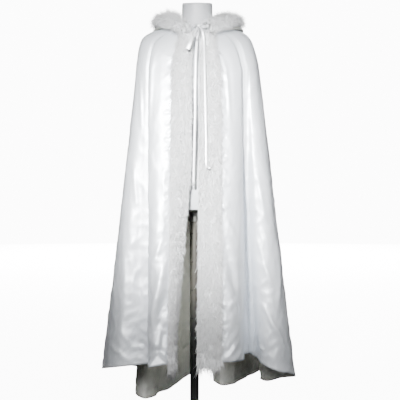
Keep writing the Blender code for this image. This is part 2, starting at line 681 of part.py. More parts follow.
def build():
    for existing in list(bpy.data.objects):
        bpy.data.objects.remove(existing, do_unlink=True)
    satin = material("white satin", (0.83, 0.85, 0.87), 0.32)
    fur = material("white fur", (0.86, 0.88, 0.89), 0.95)
    ribbon_satin = material("white ribbon", (0.84, 0.86, 0.87), 0.30)
    plastic = material("white gloss", (0.78, 0.80, 0.81), 0.22)
    steel = material("brushed steel", (0.42, 0.42, 0.38), 0.34, 1.0)

    cape_panel("front_left", "left edge", "left side", satin)
    cape_panel("back_left", "left side", "back centre", satin)
    cape_panel("back_right", "back centre", "right side", satin)
    cape_panel("front_right", "right side", "right edge", satin)
    middle = (len(HOOD) - 1) / 2
    hood_half("hood_left", 0.0, middle, satin)
    hood_half("hood_right", middle, len(HOOD) - 1.0, satin)
    fur_band("fur_front_left", "left edge", "left fur seam", fur)
    fur_band("fur_front_right", "right edge", "right fur seam", fur)
    fur_roll("fur_hood", fur)
    ribbons(ribbon_satin)

    dress_form(plastic)
    bore = POLE_RADIUS + POLE_FIT
    pole_top = FORM_FOOT - GAP - FLANGE_THICK - 0.002
    pole = turned("pole", ((POLE_RADIUS, POLE_FOOT), (POLE_RADIUS, pole_top)), 28, steel)
    adjusting_holes(pole)
    turned("pole_socket", (
        (bore, pole_top + POLE_FIT), (bore, FORM_FOOT - SOCKET_LENGTH),
        (SOCKET_RADIUS, FORM_FOOT - SOCKET_LENGTH), (SOCKET_RADIUS, FORM_FOOT - GAP - FLANGE_THICK),
        (FLANGE_RADIUS, FORM_FOOT - GAP - FLANGE_THICK), (FLANGE_RADIUS, FORM_FOOT - GAP)), 28, steel)
    turned("base_plate", (
        (bore, POLE_FOOT - POLE_FIT), (bore, HUB_TOP), (HUB_RADIUS - 0.003, HUB_TOP),
        (HUB_RADIUS, HUB_TOP - 0.003), (HUB_RADIUS + 0.002, BASE_THICK + 0.003),
        (HUB_RADIUS + 0.008, BASE_THICK), (BASE_RADIUS - 0.004, BASE_THICK),
        (BASE_RADIUS, BASE_THICK - 0.003), (BASE_RADIUS, 0.002), (BASE_RADIUS - 0.002, 0.0)), 36, steel)


build()
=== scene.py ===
# %% [markdown]
# # A hooded satin cape on a dress form
#
# The real object is a floor-length cape of heavy white satin. It has a hood laid back over the
# shoulders, a wide border of white faux fur and a ribbon tied in a bow. It rests on a glossy
# white form with no limbs, on a steel pole.
#
# The frame holds every piece as a plain solid at its real size. This lesson dresses that frame:
# cloth gets its creases, fur its pile, and every surface its own finish. Metres, +Z up, front -Y.

# %% Load the frame
import math

import bpy
import numpy as np
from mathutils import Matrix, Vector


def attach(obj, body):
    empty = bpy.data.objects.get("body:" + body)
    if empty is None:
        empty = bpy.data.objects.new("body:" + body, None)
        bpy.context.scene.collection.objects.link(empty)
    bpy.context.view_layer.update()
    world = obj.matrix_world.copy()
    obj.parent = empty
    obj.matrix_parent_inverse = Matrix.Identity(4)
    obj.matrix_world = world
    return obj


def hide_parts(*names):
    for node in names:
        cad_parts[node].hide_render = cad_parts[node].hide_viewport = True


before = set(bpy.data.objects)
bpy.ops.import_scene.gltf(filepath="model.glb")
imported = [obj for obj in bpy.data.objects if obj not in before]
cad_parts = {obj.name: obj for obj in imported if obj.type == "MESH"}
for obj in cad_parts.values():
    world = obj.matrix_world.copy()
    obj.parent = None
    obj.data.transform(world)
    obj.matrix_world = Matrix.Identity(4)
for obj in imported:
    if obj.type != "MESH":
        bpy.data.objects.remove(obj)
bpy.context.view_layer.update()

# %% [markdown]
# The camera stands level, 3.5 m in front of the pole, at about half the height of the cape. Its
# lens is worked out from the picture: one pixel covers 4 mm at the pole.

# %% Camera
PICTURE = 400
PIXEL = 0.004
STAND_OFF = 3.5
EYE = (0.022, -STAND_OFF, 0.860)

camera = bpy.data.objects.new("camera", bpy.data.cameras.new("camera"))
camera.data.lens = camera.data.sensor_width * STAND_OFF / (PICTURE * PIXEL)
camera.location = EYE
camera.rotation_euler = (math.pi / 2, 0, 0)
bpy.context.collection.objects.link(camera)
bpy.context.scene.camera = camera
print("lens", round(camera.data.lens, 2), "mm")

# %% [markdown]
# White satin on white needs light with a clear direction. A wide soft box stands in front, behind
# the camera: where the cloth faces it the satin shines, and where it tilts up on the shoulders or
# turns away in a fold it goes grey. A narrow lamp aimed at the middle lets the light fall off
# towards the shoulders and the hem. A panel far behind lights the floor and the cape's back.

# %% Lights
def lamp(kind, name, place, aim, power, **settings):
    """A light at a place, turned towards a point. The settings are its own, such as its size."""
    light = bpy.data.objects.new(name, bpy.data.lights.new(name, kind))
    light.data.energy = power
    for setting, value in settings.items():
        setattr(light.data, setting, value)
    light.location = place
    light.rotation_euler = (Vector(aim) - Vector(place)).to_track_quat("-Z", "Y").to_euler()
    bpy.context.collection.objects.link(light)


lamp("AREA", "soft box", (0.1, -3.9, 2.28), (0.1, 0.0, 1.60), 235,
     shape="RECTANGLE", size=5.0, size_y=1.3)
lamp("SPOT", "key lamp", (-0.50, -3.0, 1.9), (0.03, -0.15, 1.03), 1940,
     spot_size=math.radians(25.5), spot_blend=1.0, shadow_soft_size=0.12)
lamp("AREA", "floor panel", (0.0, 10.5, 5.0), (0.0, 10.5, 0.0), 3600, shape="DISK", size=9.0)

# %% [markdown]
# Materials are sums and products of patterns. One small class wraps a node's output, so such a
# sum can be written as a Python expression, and one method adds every other kind of node. The
# same two serve the Geometry Nodes trees further down.

# %% Node maths
def maths(operation, reflected=False):
    """A method that adds one Math node, with its two sides swapped if it is reflected."""
    def apply(self, other):
        sides = {0: other, 1: self} if reflected else {0: self, 1: other}
        return self.nodes.add("ShaderNodeMath", sides, operation=operation)
    return apply


class Socket:
    """A node's output, on which arithmetic adds Math nodes."""

    __add__, __radd__ = maths("ADD"), maths("ADD", True)
    __sub__, __rsub__ = maths("SUBTRACT"), maths("SUBTRACT", True)
    __mul__, __rmul__ = maths("MULTIPLY"), maths("MULTIPLY", True)
    __pow__ = maths("POWER")

    def __init__(self, nodes, output):
        self.nodes, self.output = nodes, output


class Nodes:
    """A node tree, built up one node at a time."""

    def __init__(self, tree):
        self.tree = tree

    def add(self, kind, inputs=None, output=0, **settings):
        """Adds a node, sets it up, fills its sockets and returns one of its outputs."""
        node = self.tree.nodes.new(kind)
        for name, value in settings.items():
            setattr(node, name, value)
        for key, value in (inputs or {}).items():
            if isinstance(value, Socket):
                self.tree.links.new(value.output, node.inputs[key])
            else:
                node.inputs[key].default_value = value
        return Socket(self, node.outputs[output])

    def remap(self, value, low, high, to_low=0.0, to_high=1.0):
        """A value, brought from one range to another and kept inside it."""
        return self.add("ShaderNodeMapRange", {
            "Value": value, "From Min": low, "From Max": high, "To Min": to_low, "To Max": to_high})


class Finish(Nodes):
    """A Principled material. Values that are the same all over sit on the shader itself."""

    def __init__(self, name, **constants):
        self.material = bpy.data.materials.new(name)
        self.material.use_nodes = True
        super().__init__(self.material.node_tree)
        self.shader = self.tree.nodes["Principled BSDF"]
        for socket, value in constants.items():
            self.shader.inputs[socket.replace("_", " ")].default_value = value

    def feed(self, socket, value):
        """Links a value that changes over the surface to one of the shader's sockets."""
        self.tree.links.new(value.output, self.shader.inputs[socket])

    def place(self, scale=(1, 1, 1), source="Object"):
        """Object or UV coordinates, stretched along each axis."""
        spot = self.add("ShaderNodeTexCoord", output=source)
        return self.add("ShaderNodeMapping", {"Vector": spot, "Scale": scale})

    def mark(self, name):
        """A number that every point of a mesh stores under a name."""
        return self.add("ShaderNodeAttribute", output="Fac", attribute_name=name)

    def cloud(self, spot, scale, detail=2.0, rough=0.5):
        """Noise, from 0 to 1."""
        return self.add("ShaderNodeTexNoise", {
            "Vector": spot, "Scale": scale, "Detail": detail, "Roughness": rough})

    def blend(self, share, first, second):
        """A mix of two colours, each of which is three numbers or another node's output."""
        first, second = (shade if isinstance(shade, Socket) else (*shade, 1)
                         for shade in (first, second))
        return self.add("ShaderNodeMix", {0: share, 6: first, 7: second}, output=2,
                        data_type="RGBA")

    def relief(self, height, distance):
        """Bump of the given depth in metres."""
        self.feed("Normal", self.add("ShaderNodeBump", {
            "Height": height, "Distance": distance, "Strength": 1.0}))


print("node classes ready")

# %% [markdown]
# The camera sees a white sky, as behind a cut-out picture. What lights the cape is far fainter:
# a little from above and next to nothing from below, so the folds keep their depth and the cloth
# darkens towards the hem. The strength of the sky is mixed by the direction of each ray.

# %% Sky
SKY_SEEN, SKY_ABOVE, SKY_BELOW = 12.0, 0.11, 0.02
SKY_RISE = 0.25  # how high a ray points where the sky above is at its full strength

sky = bpy.data.worlds.new("white sky")
sky.use_nodes = True
air = Nodes(sky.node_tree)
heading = air.add("ShaderNodeTexCoord", output="Generated")
rise = air.add("ShaderNodeSeparateXYZ", {0: heading}, output=2)
faint = air.remap(rise, 0.0, SKY_RISE, SKY_BELOW, SKY_ABOVE)
seen = air.add("ShaderNodeLightPath", output="Is Camera Ray")
glow = air.remap(seen, 0.0, 1.0, faint, SKY_SEEN)
background = sky.node_tree.nodes["Background"]
background.inputs["Color"].default_value = (1.0, 1.0, 1.0, 1.0)
sky.node_tree.links.new(glow.output, background.inputs["Strength"])
bpy.context.scene.world = sky
print("sky", SKY_SEEN, "seen,", SKY_ABOVE, "above,", SKY_BELOW, "below")

# %% [markdown]
# The floor is a plain pale disc, wide enough to reach past every view. It glows, so that it stays
# nearly as pale as the sky, but throws none of that light up under the hem. It isn't part of the
# object.

# %% Floor
FLOOR_REACH, FLOOR_DROP, FLOOR_GLOW = 14.0, 0.0006, 10.5

floor_finish = Finish("pale floor", Roughness=0.9, Specular_IOR_Level=0.2,
                      Emission_Strength=FLOOR_GLOW)
speckle = floor_finish.cloud(floor_finish.place(), 3.0)
floor_finish.shader.inputs["Emission Color"].default_value = (1.0, 1.0, 1.0, 1.0)
floor_finish.feed("Base Color", floor_finish.blend(
    speckle, (0.90, 0.91, 0.92), (0.94, 0.945, 0.95)))
bpy.ops.mesh.primitive_circle_add(
    vertices=96, radius=FLOOR_REACH, fill_type="NGON", location=(0, 0, -FLOOR_DROP))
floor = bpy.context.object
floor.name = "floor"
floor.data.materials.append(floor_finish.material)
floor.visible_diffuse = floor.visible_glossy = False
print("floor", 2 * FLOOR_REACH, "m wide")

# %% [markdown]
# Satin is woven so that one set of threads floats on top. It reflects light in a soft streak,
# and shows faint lengthwise slubs. The UV map is in metres along the cloth, so the streaks
# follow the weave over every fold. The sheen is the same all over and stays on the shader. The
# reverse of the cape's satin is rougher, and its colour is a little darker and cream: painted
# shade for the cape's dim inside. Each shell marks its own reverse.

# %% Satin finish
THREADS, WEFT = (900, 26, 1), (30, 1100, 1)  # how often each noise repeats in a metre


def satin_finish(name, pale, deep, rough, slub, reverse=None):
    """White satin, from two shades, its roughness and how much the threads show."""
    satin = Finish(name, Metallic=0.30, Specular_IOR_Level=0.8)
    threads = satin.cloud(satin.place(THREADS, "UV"), 1.0, 3.0)
    weft = satin.cloud(satin.place(WEFT, "UV"), 1.0, 2.0)
    patches = satin.cloud(satin.place(), 7.0, 3.0)
    shade = satin.blend(threads * 0.5 + patches * 0.5, deep, pale)
    dull = rough + patches * 0.10 + threads * 0.06
    # The reverse's darker cream colour is painted shade for the inside of the cape; its extra
    # roughness is the duller back of the weave.
    if reverse:
        inside = satin.mark("reverse")
        shade, dull = satin.blend(inside, shade, reverse), dull + inside * 0.18
    satin.feed("Base Color", shade)
    satin.feed("Roughness", dull)
    satin.relief(threads * 0.6 + weft * 0.4, slub)
    return satin.material


# The last colour is the reverse's painted shade.
satin = satin_finish(
    "cape satin", (0.85, 0.885, 0.93), (0.785, 0.825, 0.87), 0.33, 0.00018, (0.84, 0.85, 0.80))
ribbon_satin = satin_finish("ribbon satin", (0.92, 0.935, 0.95), (0.87, 0.89, 0.91), 0.30, 0.00012)
print("satins", satin.name, ribbon_satin.name)

# %% [markdown]
# Everything that is drawn through a few listed rows uses the same smooth curve. It passes
# through every row, and uneven spacing doesn't make it swing out.

# %% A smooth curve through rows
def through_rows(rows, spots, at):
    """Values at fractional rows, as an array with the shape of at and one value a column."""
    rows, spots, at = np.asarray(rows, float), np.asarray(spots, float), np.asarray(at, float)
    ends = np.vstack([2 * rows[0] - rows[1], rows, 2 * rows[-1] - rows[-2]])
    steps = np.diff(spots)
    steps = np.concatenate([steps[:1], steps, steps[-1:]])
    index = np.clip(at.astype(int), 0, len(rows) - 2)
    share = (at - index)[..., None]
    a, b, c, d = (ends[index + k] for k in range(4))
    first, middle, last = (steps[index + k][..., None] for k in range(3))
    leave = ((b - a) / first - (c - a) / (first + middle) + (c - b) / middle) * middle
    reach = ((c - b) / middle - (d - b) / (middle + last) + (d - c) / last) * middle
    cubic = 2 * b - 2 * c + leave + reach
    square = -3 * b + 3 * c - 2 * leave - reach
    return ((cubic * share + square) * share + leave) * share + b


def even_spots(rows):
    """Spacing one apart, for rows that belong to no curve."""
    return list(range(len(rows)))


def spaced_spots(rows, size):
    """Spacing of the rows along a curve, from the distance between neighbours."""
    rows = np.asarray(rows, float)[:, :size]
    return np.concatenate([[0.0], np.cumsum(np.linalg.norm(np.diff(rows, axis=0), axis=1) ** 0.5)])


print("halfway", through_rows([[0.0], [1.0], [0.0]], [0, 1, 2], 0.5))

# %% [markdown]
# The cape's form is the frame's own: rings from the neckline to the chest, and a row for every
# fold round the hem, from the left front edge round the back to the right front edge. The
# angle says where a fold leaves the chest ring, and opens says how far down it starts to swing
# out.

# %% The cape's form
AXIS_X = 0.011
WALL = 0.0022
SEAM = 0.00016
YOKE = (
    # left, right, front, back, side height, front height, back height, share of the folds
    ("neckline", 0.078, 0.078, 0.080, 0.080, 1.556, 1.538, 1.572, 0.00),
    ("collar foot", 0.100, 0.100, 0.092, 0.096, 1.551, 1.521, 1.556, 0.00),
    ("yoke", 0.142, 0.143, 0.108, 0.116, 1.541, 1.487, 1.526, 0.00),
    ("shoulder", 0.187, 0.182, 0.119, 0.130, 1.527, 1.451, 1.492, 0.30),
    ("shoulder point", 0.218, 0.210, 0.127, 0.138, 1.503, 1.416, 1.455, 0.60),
    ("upper arm", 0.232, 0.227, 0.134, 0.145, 1.461, 1.380, 1.415, 0.85),
    ("chest", 0.241, 0.243, 0.142, 0.152, 1.400, 1.335, 1.365, 1.00),
)
FOLDS = (
    # x, y and z at the hem, angle on the chest ring, how far out it stands there, opens
    ("left edge", -0.088, -0.155, 0.250, 4.0, 0.000, 0.32),
    ("left fur seam", -0.100, -0.243, 0.255, 20.4, 0.004, 0.00),
    ("left inner crest", -0.140, -0.262, 0.248, 33.0, 0.009, 0.00),
    ("left inner fold", -0.172, -0.228, 0.243, 45.0, 0.012, 0.00),
    ("left front valley", -0.152, -0.160, 0.235, 50.5, -0.012, 0.00),
    ("left outer flank", -0.208, -0.150, 0.230, 57.0, -0.004, 0.00),
    ("left outer crest", -0.290, -0.158, 0.222, 70.0, 0.005, 0.00),
    ("left side", -0.362, -0.040, 0.194, 92.0, 0.000, 0.00),
    ("left back crest", -0.338, 0.110, 0.172, 112.0, 0.006, 0.00),
    ("left back turn", -0.275, 0.215, 0.158, 126.0, 0.002, 0.00),
    ("fold a neck", -0.230, 0.232, 0.140, 131.0, -0.003, 0.10),
    ("fold a outer", -0.236, 0.172, 0.100, 135.0, -0.006, 0.12),
    ("fold a left", -0.250, 0.122, 0.064, 139.0, -0.008, 0.12),
    ("fold a crest", -0.210, 0.080, 0.048, 143.0, -0.009, 0.12),
    ("fold a right", -0.166, 0.120, 0.046, 148.0, -0.007, 0.12),
    ("fold a inner", -0.150, 0.200, 0.045, 153.0, -0.002, 0.05),
    ("back left flank", -0.105, 0.270, 0.048, 160.0, 0.003, 0.00),
    ("back left crest", -0.045, 0.330, 0.082, 168.0, 0.006, 0.00),
    ("back centre", 0.025, 0.352, 0.120, 177.0, 0.006, 0.00),
    ("back right turn", 0.078, 0.305, 0.122, 184.0, 0.002, 0.00),
    ("fold b outer", 0.088, 0.210, 0.116, 189.0, -0.004, 0.12),
    ("fold b left", 0.074, 0.135, 0.112, 193.0, -0.008, 0.12),
    ("fold b crest", 0.108, 0.088, 0.100, 198.0, -0.009, 0.12),
    ("fold b right", 0.155, 0.122, 0.097, 204.0, -0.006, 0.12),
    ("right back flank", 0.200, 0.200, 0.100, 212.0, 0.000, 0.05),
    ("right back rise", 0.250, 0.280, 0.108, 222.0, 0.005, 0.00),
    ("right back crest", 0.300, 0.305, 0.125, 232.0, 0.006, 0.00),
    ("right back turn", 0.322, 0.245, 0.135, 240.0, 0.002, 0.00),
    ("fold c outer", 0.288, 0.175, 0.130, 245.0, -0.004, 0.12),
    ("fold c left", 0.270, 0.115, 0.120, 249.0, -0.006, 0.12),
    ("fold c crest", 0.298, 0.078, 0.119, 254.0, -0.006, 0.12),
    ("right back side", 0.352, 0.058, 0.136, 261.0, 0.000, 0.05),
    ("right side", 0.398, -0.012, 0.156, 270.0, 0.000, 0.00),
    ("right outer turn", 0.375, -0.105, 0.185, 284.0, 0.004, 0.00),
    ("right outer crest", 0.318, -0.150, 0.205, 296.0, 0.006, 0.00),
    ("right outer edge", 0.260, -0.128, 0.228, 306.0, 0.002, 0.00),
    ("right valley right", 0.240, -0.060, 0.245, 311.0, -0.006, 0.28),
    ("right valley", 0.216, -0.018, 0.250, 314.0, -0.010, 0.28),
    ("right valley left", 0.190, -0.070, 0.252, 317.0, -0.008, 0.28),
    ("right inner fold", 0.186, -0.205, 0.258, 320.5, 0.008, 0.00),
    ("right inner crest", 0.150, -0.268, 0.262, 331.0, 0.008, 0.00),
    ("right fur seam", 0.103, -0.285, 0.264, 341.0, 0.004, 0.00),
    ("right edge", 0.013, -0.275, 0.262, 358.0, 0.000, 0.00),
)
YOKE_ROWS = [row[1:] for row in YOKE]
FOLD_ROWS = [row[1:] for row in FOLDS]
FOLD_SPOTS = spaced_spots(FOLD_ROWS, 2)
FOLD_NAMES = [row[0] for row in FOLDS]
CHEST = len(YOKE) - 1
LIP_AT, LIP_SPREAD, LIP_SLOPE, LIP_FROM = 1.9, 0.85, 0.34, 0.956
YOKE_POWER, SWING_EASE = 0.88, 0.05


def unit(vectors):
    """The same directions, one long."""
    return vectors / np.linalg.norm(vectors, axis=-1, keepdims=True)


def signed_power(value, power):
    """A power that keeps the sign. Below 1 it squares off a sine, and so a ring."""
    return np.sign(value) * np.abs(value) ** power


def ring_points(angle, level, out=0.0):
    """Points on the yoke, at angles in degrees and levels from the neckline (0) to CHEST."""
    ring = through_rows(YOKE_ROWS, even_spots(YOKE), level)
    left, right, front, back, side_z, front_z, back_z, folds = np.moveaxis(ring, -1, 0)
    side, ahead = np.sin(np.radians(angle)), np.cos(np.radians(angle))
    across = np.where(side > 0, left, right) + out * folds
    deep = np.where(ahead > 0, front, back) + out * folds
    x = AXIS_X - across * signed_power(side, YOKE_POWER)
    y = -deep * signed_power(ahead, YOKE_POWER)
    z = side_z * side ** 2 + np.where(ahead > 0, front_z, back_z) * ahead ** 2
    return np.stack([x, y, z], axis=-1)


def cape_points(fold, down):
    """Points on the outer face, from the neckline (down is 0) past the chest (1) to the hem (2)."""
    fold, down = np.broadcast_arrays(np.asarray(fold, float), np.asarray(down, float))
    row = np.moveaxis(through_rows(FOLD_ROWS, FOLD_SPOTS, fold), -1, 0)
    hem, (angle, out, opens) = np.stack(row[:3], axis=-1), row[3:]
    top = ring_points(angle, np.clip(down, 0, 1) * CHEST, out)
    drop = np.clip(down - 1, 0, 1)
    opens = np.clip(opens, 0, 0.9)
    swing = (drop - opens) / (1 - opens)
    ease = SWING_EASE * np.minimum(opens / 0.1, 1)
    swing = (swing + np.sqrt(swing ** 2 + ease ** 2)) / 2
    point = top + (hem - top) * np.stack([swing, swing, drop], axis=-1)
    lip = (1 - LIP_FROM) * (1 - np.abs(fold - LIP_AT) / LIP_SPREAD)
    point[..., 1] -= LIP_SLOPE * np.clip(np.minimum(lip, drop - 1 + lip), 0, None)
    return point


def outward(points):
    """The outward normals of a grid of points, with rows that run down and columns round."""
    return unit(np.cross(np.gradient(points, axis=1), np.gradient(points, axis=0)))


def normal_at(surface, angle, level):
    """The outward direction of a surface, such as ring_points, at angles and levels."""
    along = surface(angle + 1, level) - surface(angle - 1, level)
    down = surface(angle, level + 0.05) - surface(angle, np.maximum(level - 0.05, 0))
    return unit(np.cross(along, down))


print("hem from", cape_points(0, 2).round(3), "to", cape_points(len(FOLDS) - 1, 2).round(3))

# %% [markdown]
# Cloth is a thin closed shell: an outer grid, an inner one a wall's thickness behind it, and a
# border that joins them. The faces are laid so that every one points outwards. The UV map
# measures the cloth in metres, across and down, and the points of the inner grid are marked as
# the reverse.

# %% Shells
SATIN_THICK = 0.0014


def mesh_piece(name, points, faces, finish, uv=None):
    """An object from points and faces, with smooth shading, one finish and perhaps a UV map."""
    mesh = bpy.data.meshes.new(name)
    mesh.from_pydata(points, [], faces)
    mesh.shade_smooth()
    mesh.materials.append(finish)
    if uv is not None:
        corners = np.empty(len(mesh.loops), int)
        mesh.loops.foreach_get("vertex_index", corners)
        mesh.uv_layers.new(name="cloth").data.foreach_set("uv", uv[corners].ravel())
    piece = bpy.data.objects.new(name, mesh)
    bpy.context.collection.objects.link(piece)
    return piece


def run_length(points, axis):
    """How far along each row or column of a grid every point lies."""
    step = np.linalg.norm(np.diff(points, axis=axis), axis=-1)
    return np.concatenate([np.zeros_like(np.take(step, [0], axis)), np.cumsum(step, axis)], axis)


def shell(name, outer):
    """A closed wall of satin behind a grid of outer points, with the grid's size as its UV map."""
    rows, columns = outer.shape[:2]
    inner = outer - outward(outer) * SATIN_THICK
    points = np.concatenate([outer.reshape(-1, 3), inner.reshape(-1, 3)])
    number = np.arange(rows * columns).reshape(rows, columns)
    quads = np.stack([number[:-1, :-1], number[:-1, 1:], number[1:, 1:], number[1:, :-1]], -1)
    quads = quads.reshape(-1, 4)
    border = np.concatenate([number[0, :-1], number[:-1, -1], number[-1, :0:-1], number[:0:-1, 0]])
    after = np.roll(border, -1)
    back = rows * columns
    rim = np.stack([after, border, border + back, after + back], -1)
    faces = np.concatenate([quads, quads[:, ::-1] + back, rim])
    spread = np.stack([run_length(outer, 1), run_length(outer, 0)], -1).reshape(-1, 2)
    piece = mesh_piece(name, points, faces.tolist(), satin, np.concatenate([spread, spread]))
    # The reverse mark also carries the painted shade of the cape's inside.
    reverse = piece.data.attributes.new("reverse", "FLOAT", "POINT")
    reverse.data.foreach_set("value", np.repeat((0.0, 1.0), back))
    return piece


def stand_in(piece, node):
    """Fixes a piece to the frame's one body, in place of a solid."""
    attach(piece, "root")
    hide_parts(node)


def facts(piece):
    """A piece's count of triangles and half the area of its closed surface."""
    faces = piece.data.polygons
    return sum(len(face.vertices) - 2 for face in faces), sum(face.area for face in faces) / 2


def seam_gaps(points, first, last):
    """Draws the sides of a panel in, by half the gap of a seam, where another one meets them."""
    edge = unit(np.gradient(points, axis=1))
    if first:
        points[:, 0] += edge[:, 0] * SEAM
    if last:
        points[:, -1] -= edge[:, -1] * SEAM


print("shells ready")

# %% [markdown]
# Real satin carries sharp creases where it was folded or pulled. The main ones are listed: each
# row is a short line on the cloth, from one fold and height to another, with the width of the
# crease and how far it stands out (or in, below zero). Beside a ridge the cloth dips a little,
# which is what makes it read as a crease and not as a bump.

# %% Creases
CREASE_SPAN, CREASE_DIP = 2.5, 0.7  # the folds that a crease can reach, and the dip beside it
LUMP_CELLS, LUMP_GAIN = 24, 1.8


def down_at(fold, height):
    """How far down the cape a height lies on the line of a fold."""
    downs = np.linspace(0.3, 2, 160)
    heights = cape_points(fold, downs)[:, 2]
    return np.interp(-height, -heights, downs)


def crease_path(crease, legs=8):
    """Points along a crease, from one end to the other."""
    fold_a, height_a, fold_b, height_b, bow = crease[1:6]
    share = np.linspace(0, 1, legs + 1)
    folds = fold_a + (fold_b - fold_a) * share
    heights = height_a + (height_b - height_a) * share + bow * np.sin(np.pi * share)
    downs = [down_at(fold, height) for fold, height in zip(folds, heights)]
    return cape_points(folds, np.array(downs))


def near_path(points, path):
    """For each point, its distance to a path, and how far along the path that is."""
    gap, along = np.full(points.shape[:-1], 9.0), np.zeros(points.shape[:-1])
    for index, (start, end) in enumerate(zip(path, path[1:])):
        leg = end - start
        share = np.clip((points - start) @ leg / max(leg @ leg, 1e-9), 0, 1)
        here = np.linalg.norm(points - start - share[..., None] * leg, axis=-1)
        along = np.where(here < gap, (index + share) / (len(path) - 1), along)
        gap = np.minimum(here, gap)
    return gap, along


def crease_push(points, folds, creases):
    """How far each point of a grid moves out for a table of creases."""
    push = np.zeros(points.shape[:-1])
    for crease in creases:
        width, depth = crease[6:]
        gap, along = near_path(points, crease_path(crease))
        near = (gap / width) ** 2
        own = np.abs(folds - (crease[1] + crease[3]) / 2) < CREASE_SPAN
        push += own * depth * (1 - CREASE_DIP * near) * np.exp(-near) * np.sin(np.pi * along) ** 0.8
    return push


def lumps(points, size, seed):
    """Smooth random values, mostly from -1 to 1, which change over about the given size."""
    slopes = unit(np.random.default_rng(seed).normal(size=(LUMP_CELLS,) * 3 + (3,)))
    spot = points / size + 20 * LUMP_CELLS
    cell = np.floor(spot).astype(int)
    offset = spot - cell
    share = offset ** 3 * (offset * (offset * 6 - 15) + 10)
    value = 0.0
    for corner in np.ndindex(2, 2, 2):
        weight = np.prod(np.where(corner, share, 1 - share), axis=-1)
        near = tuple((cell[..., k] + corner[k]) % LUMP_CELLS for k in range(3))
        value = value + weight * ((offset - corner) * slopes[near]).sum(-1)
    return value * LUMP_GAIN


def crumple(points, size, seed):
    """A net of sharp random ridges, as in cloth that was crushed: 1 on a ridge, 0 between."""
    bent = points + size * 0.5 * np.stack(
        [lumps(points, size * 1.7, seed + k) for k in (1, 2, 3)], axis=-1)
    return np.clip(1 - 2.0 * np.abs(lumps(bent, size, seed)), 0, 1) ** 1.5


FRONT_CREASES = (
    # fold and height at one end, fold and height at the other, bow, width, depth
    ("left dark crease", 2.9, 0.66, 2.6, 0.33, 0.0, 0.012, -0.006),
    ("left low ridge", 1.15, 0.66, 2.75, 0.36, 0.0, 0.022, 0.010),
    ("left low hollow", 1.10, 0.52, 2.30, 0.33, 0.0, 0.026, -0.013),
    ("left low hollow b", 1.15, 0.40, 1.60, 0.29, 0.0, 0.020, -0.010),
    ("left shoulder pull", 2.6, 1.44, 2.9, 1.12, 0.0, 0.010, 0.003),
    ("left knee pull", 1.4, 0.72, 2.5, 0.60, 0.01, 0.012, 0.003),
    ("left low pull", 1.2, 0.46, 2.0, 0.40, 0.0, 0.009, 0.003),
    ("left hem diagonal", 6.6, 0.31, 5.4, 0.24, 0.0, 0.010, 0.005),
    ("left hem diagonal b", 6.1, 0.37, 5.3, 0.29, 0.0, 0.010, 0.004),
    ("left hem short", 5.5, 0.285, 4.7, 0.29, 0.01, 0.008, 0.004),
    ("left outer long", 6.3, 0.80, 5.8, 0.45, 0.0, 0.012, 0.003),
    ("left outer mid", 5.9, 1.02, 5.3, 0.80, 0.0, 0.012, 0.003),
    ("left side drag", 6.9, 0.60, 6.2, 0.40, 0.0, 0.014, 0.004),
    ("left outer top", 5.6, 1.36, 5.2, 1.12, 0.0, 0.010, 0.003),
    ("left lip shade", 1.2, 0.292, 2.7, 0.288, 0.010, 0.012, -0.007),
    ("right inner lens", 39.4, 0.35, 40.8, 0.27, 0.0, 0.010, 0.006),
    ("right inner lens b", 39.2, 0.31, 40.2, 0.262, 0.0, 0.009, 0.005),
    ("right inner pull", 39.3, 0.50, 40.8, 0.44, 0.01, 0.012, 0.003),
    ("right inner hollow", 40.9, 0.72, 39.2, 0.42, 0.0, 0.022, -0.008),
    ("right inner mid", 40.8, 0.80, 39.5, 0.70, 0.0, 0.013, 0.003),
    ("right outer hem", 35.2, 0.30, 34.7, 0.28, 0.0, 0.008, 0.005),
    ("right outer hem b", 33.6, 0.205, 33.1, 0.20, 0.0, 0.009, 0.005),
    ("right outer arc", 34.9, 0.47, 33.6, 0.30, 0.02, 0.012, 0.004),
    ("right outer arc b", 34.3, 0.40, 33.1, 0.25, 0.02, 0.012, 0.004),
    ("right outer drag", 34.8, 0.70, 34.0, 0.52, 0.0, 0.013, 0.003),
    ("right outer mid", 34.6, 0.98, 34.1, 0.76, 0.0, 0.012, 0.003),
    ("right side drag", 33.0, 0.62, 33.8, 0.40, 0.0, 0.014, 0.004),
    ("right shoulder pull", 40.6, 1.42, 40.2, 1.15, 0.0, 0.010, 0.003),
)
BACK_CREASES = (
    ("left back drag", 8.6, 0.62, 7.6, 0.42, 0.0, 0.013, 0.004),
    ("left back low", 9.2, 0.34, 8.0, 0.24, 0.0, 0.011, 0.005),
    ("left back knee", 8.8, 0.85, 8.1, 0.70, 0.0, 0.013, 0.003),
    ("middle low", 17.8, 0.26, 16.4, 0.17, 0.0, 0.011, 0.005),
    ("middle knee", 16.6, 0.62, 17.7, 0.50, 0.0, 0.013, 0.004),
    ("middle high", 17.2, 1.02, 16.8, 0.80, 0.0, 0.012, 0.003),
    ("right back low", 26.6, 0.30, 25.4, 0.20, 0.0, 0.011, 0.005),
    ("right back knee", 25.6, 0.66, 26.7, 0.52, 0.0, 0.013, 0.004),
    ("right back high", 26.2, 1.00, 25.8, 0.78, 0.0, 0.012, 0.003),
    ("right side low", 31.2, 0.30, 31.9, 0.20, 0.0, 0.011, 0.004),
    ("right side knee", 31.4, 0.70, 31.9, 0.52, 0.0, 0.012, 0.003),
)
print("creases by hand", len(FRONT_CREASES) + len(BACK_CREASES))

# %% [markdown]
# Where the fur is sewn on, the feed of the machine draws the satin into short level puckers all
# down the seam. They repeat unevenly, so a loop lays them, with a seeded spread.

# %% Puckers beside the fur
PUCKER_TOP, PUCKER_RUN = 1.42, 1.12


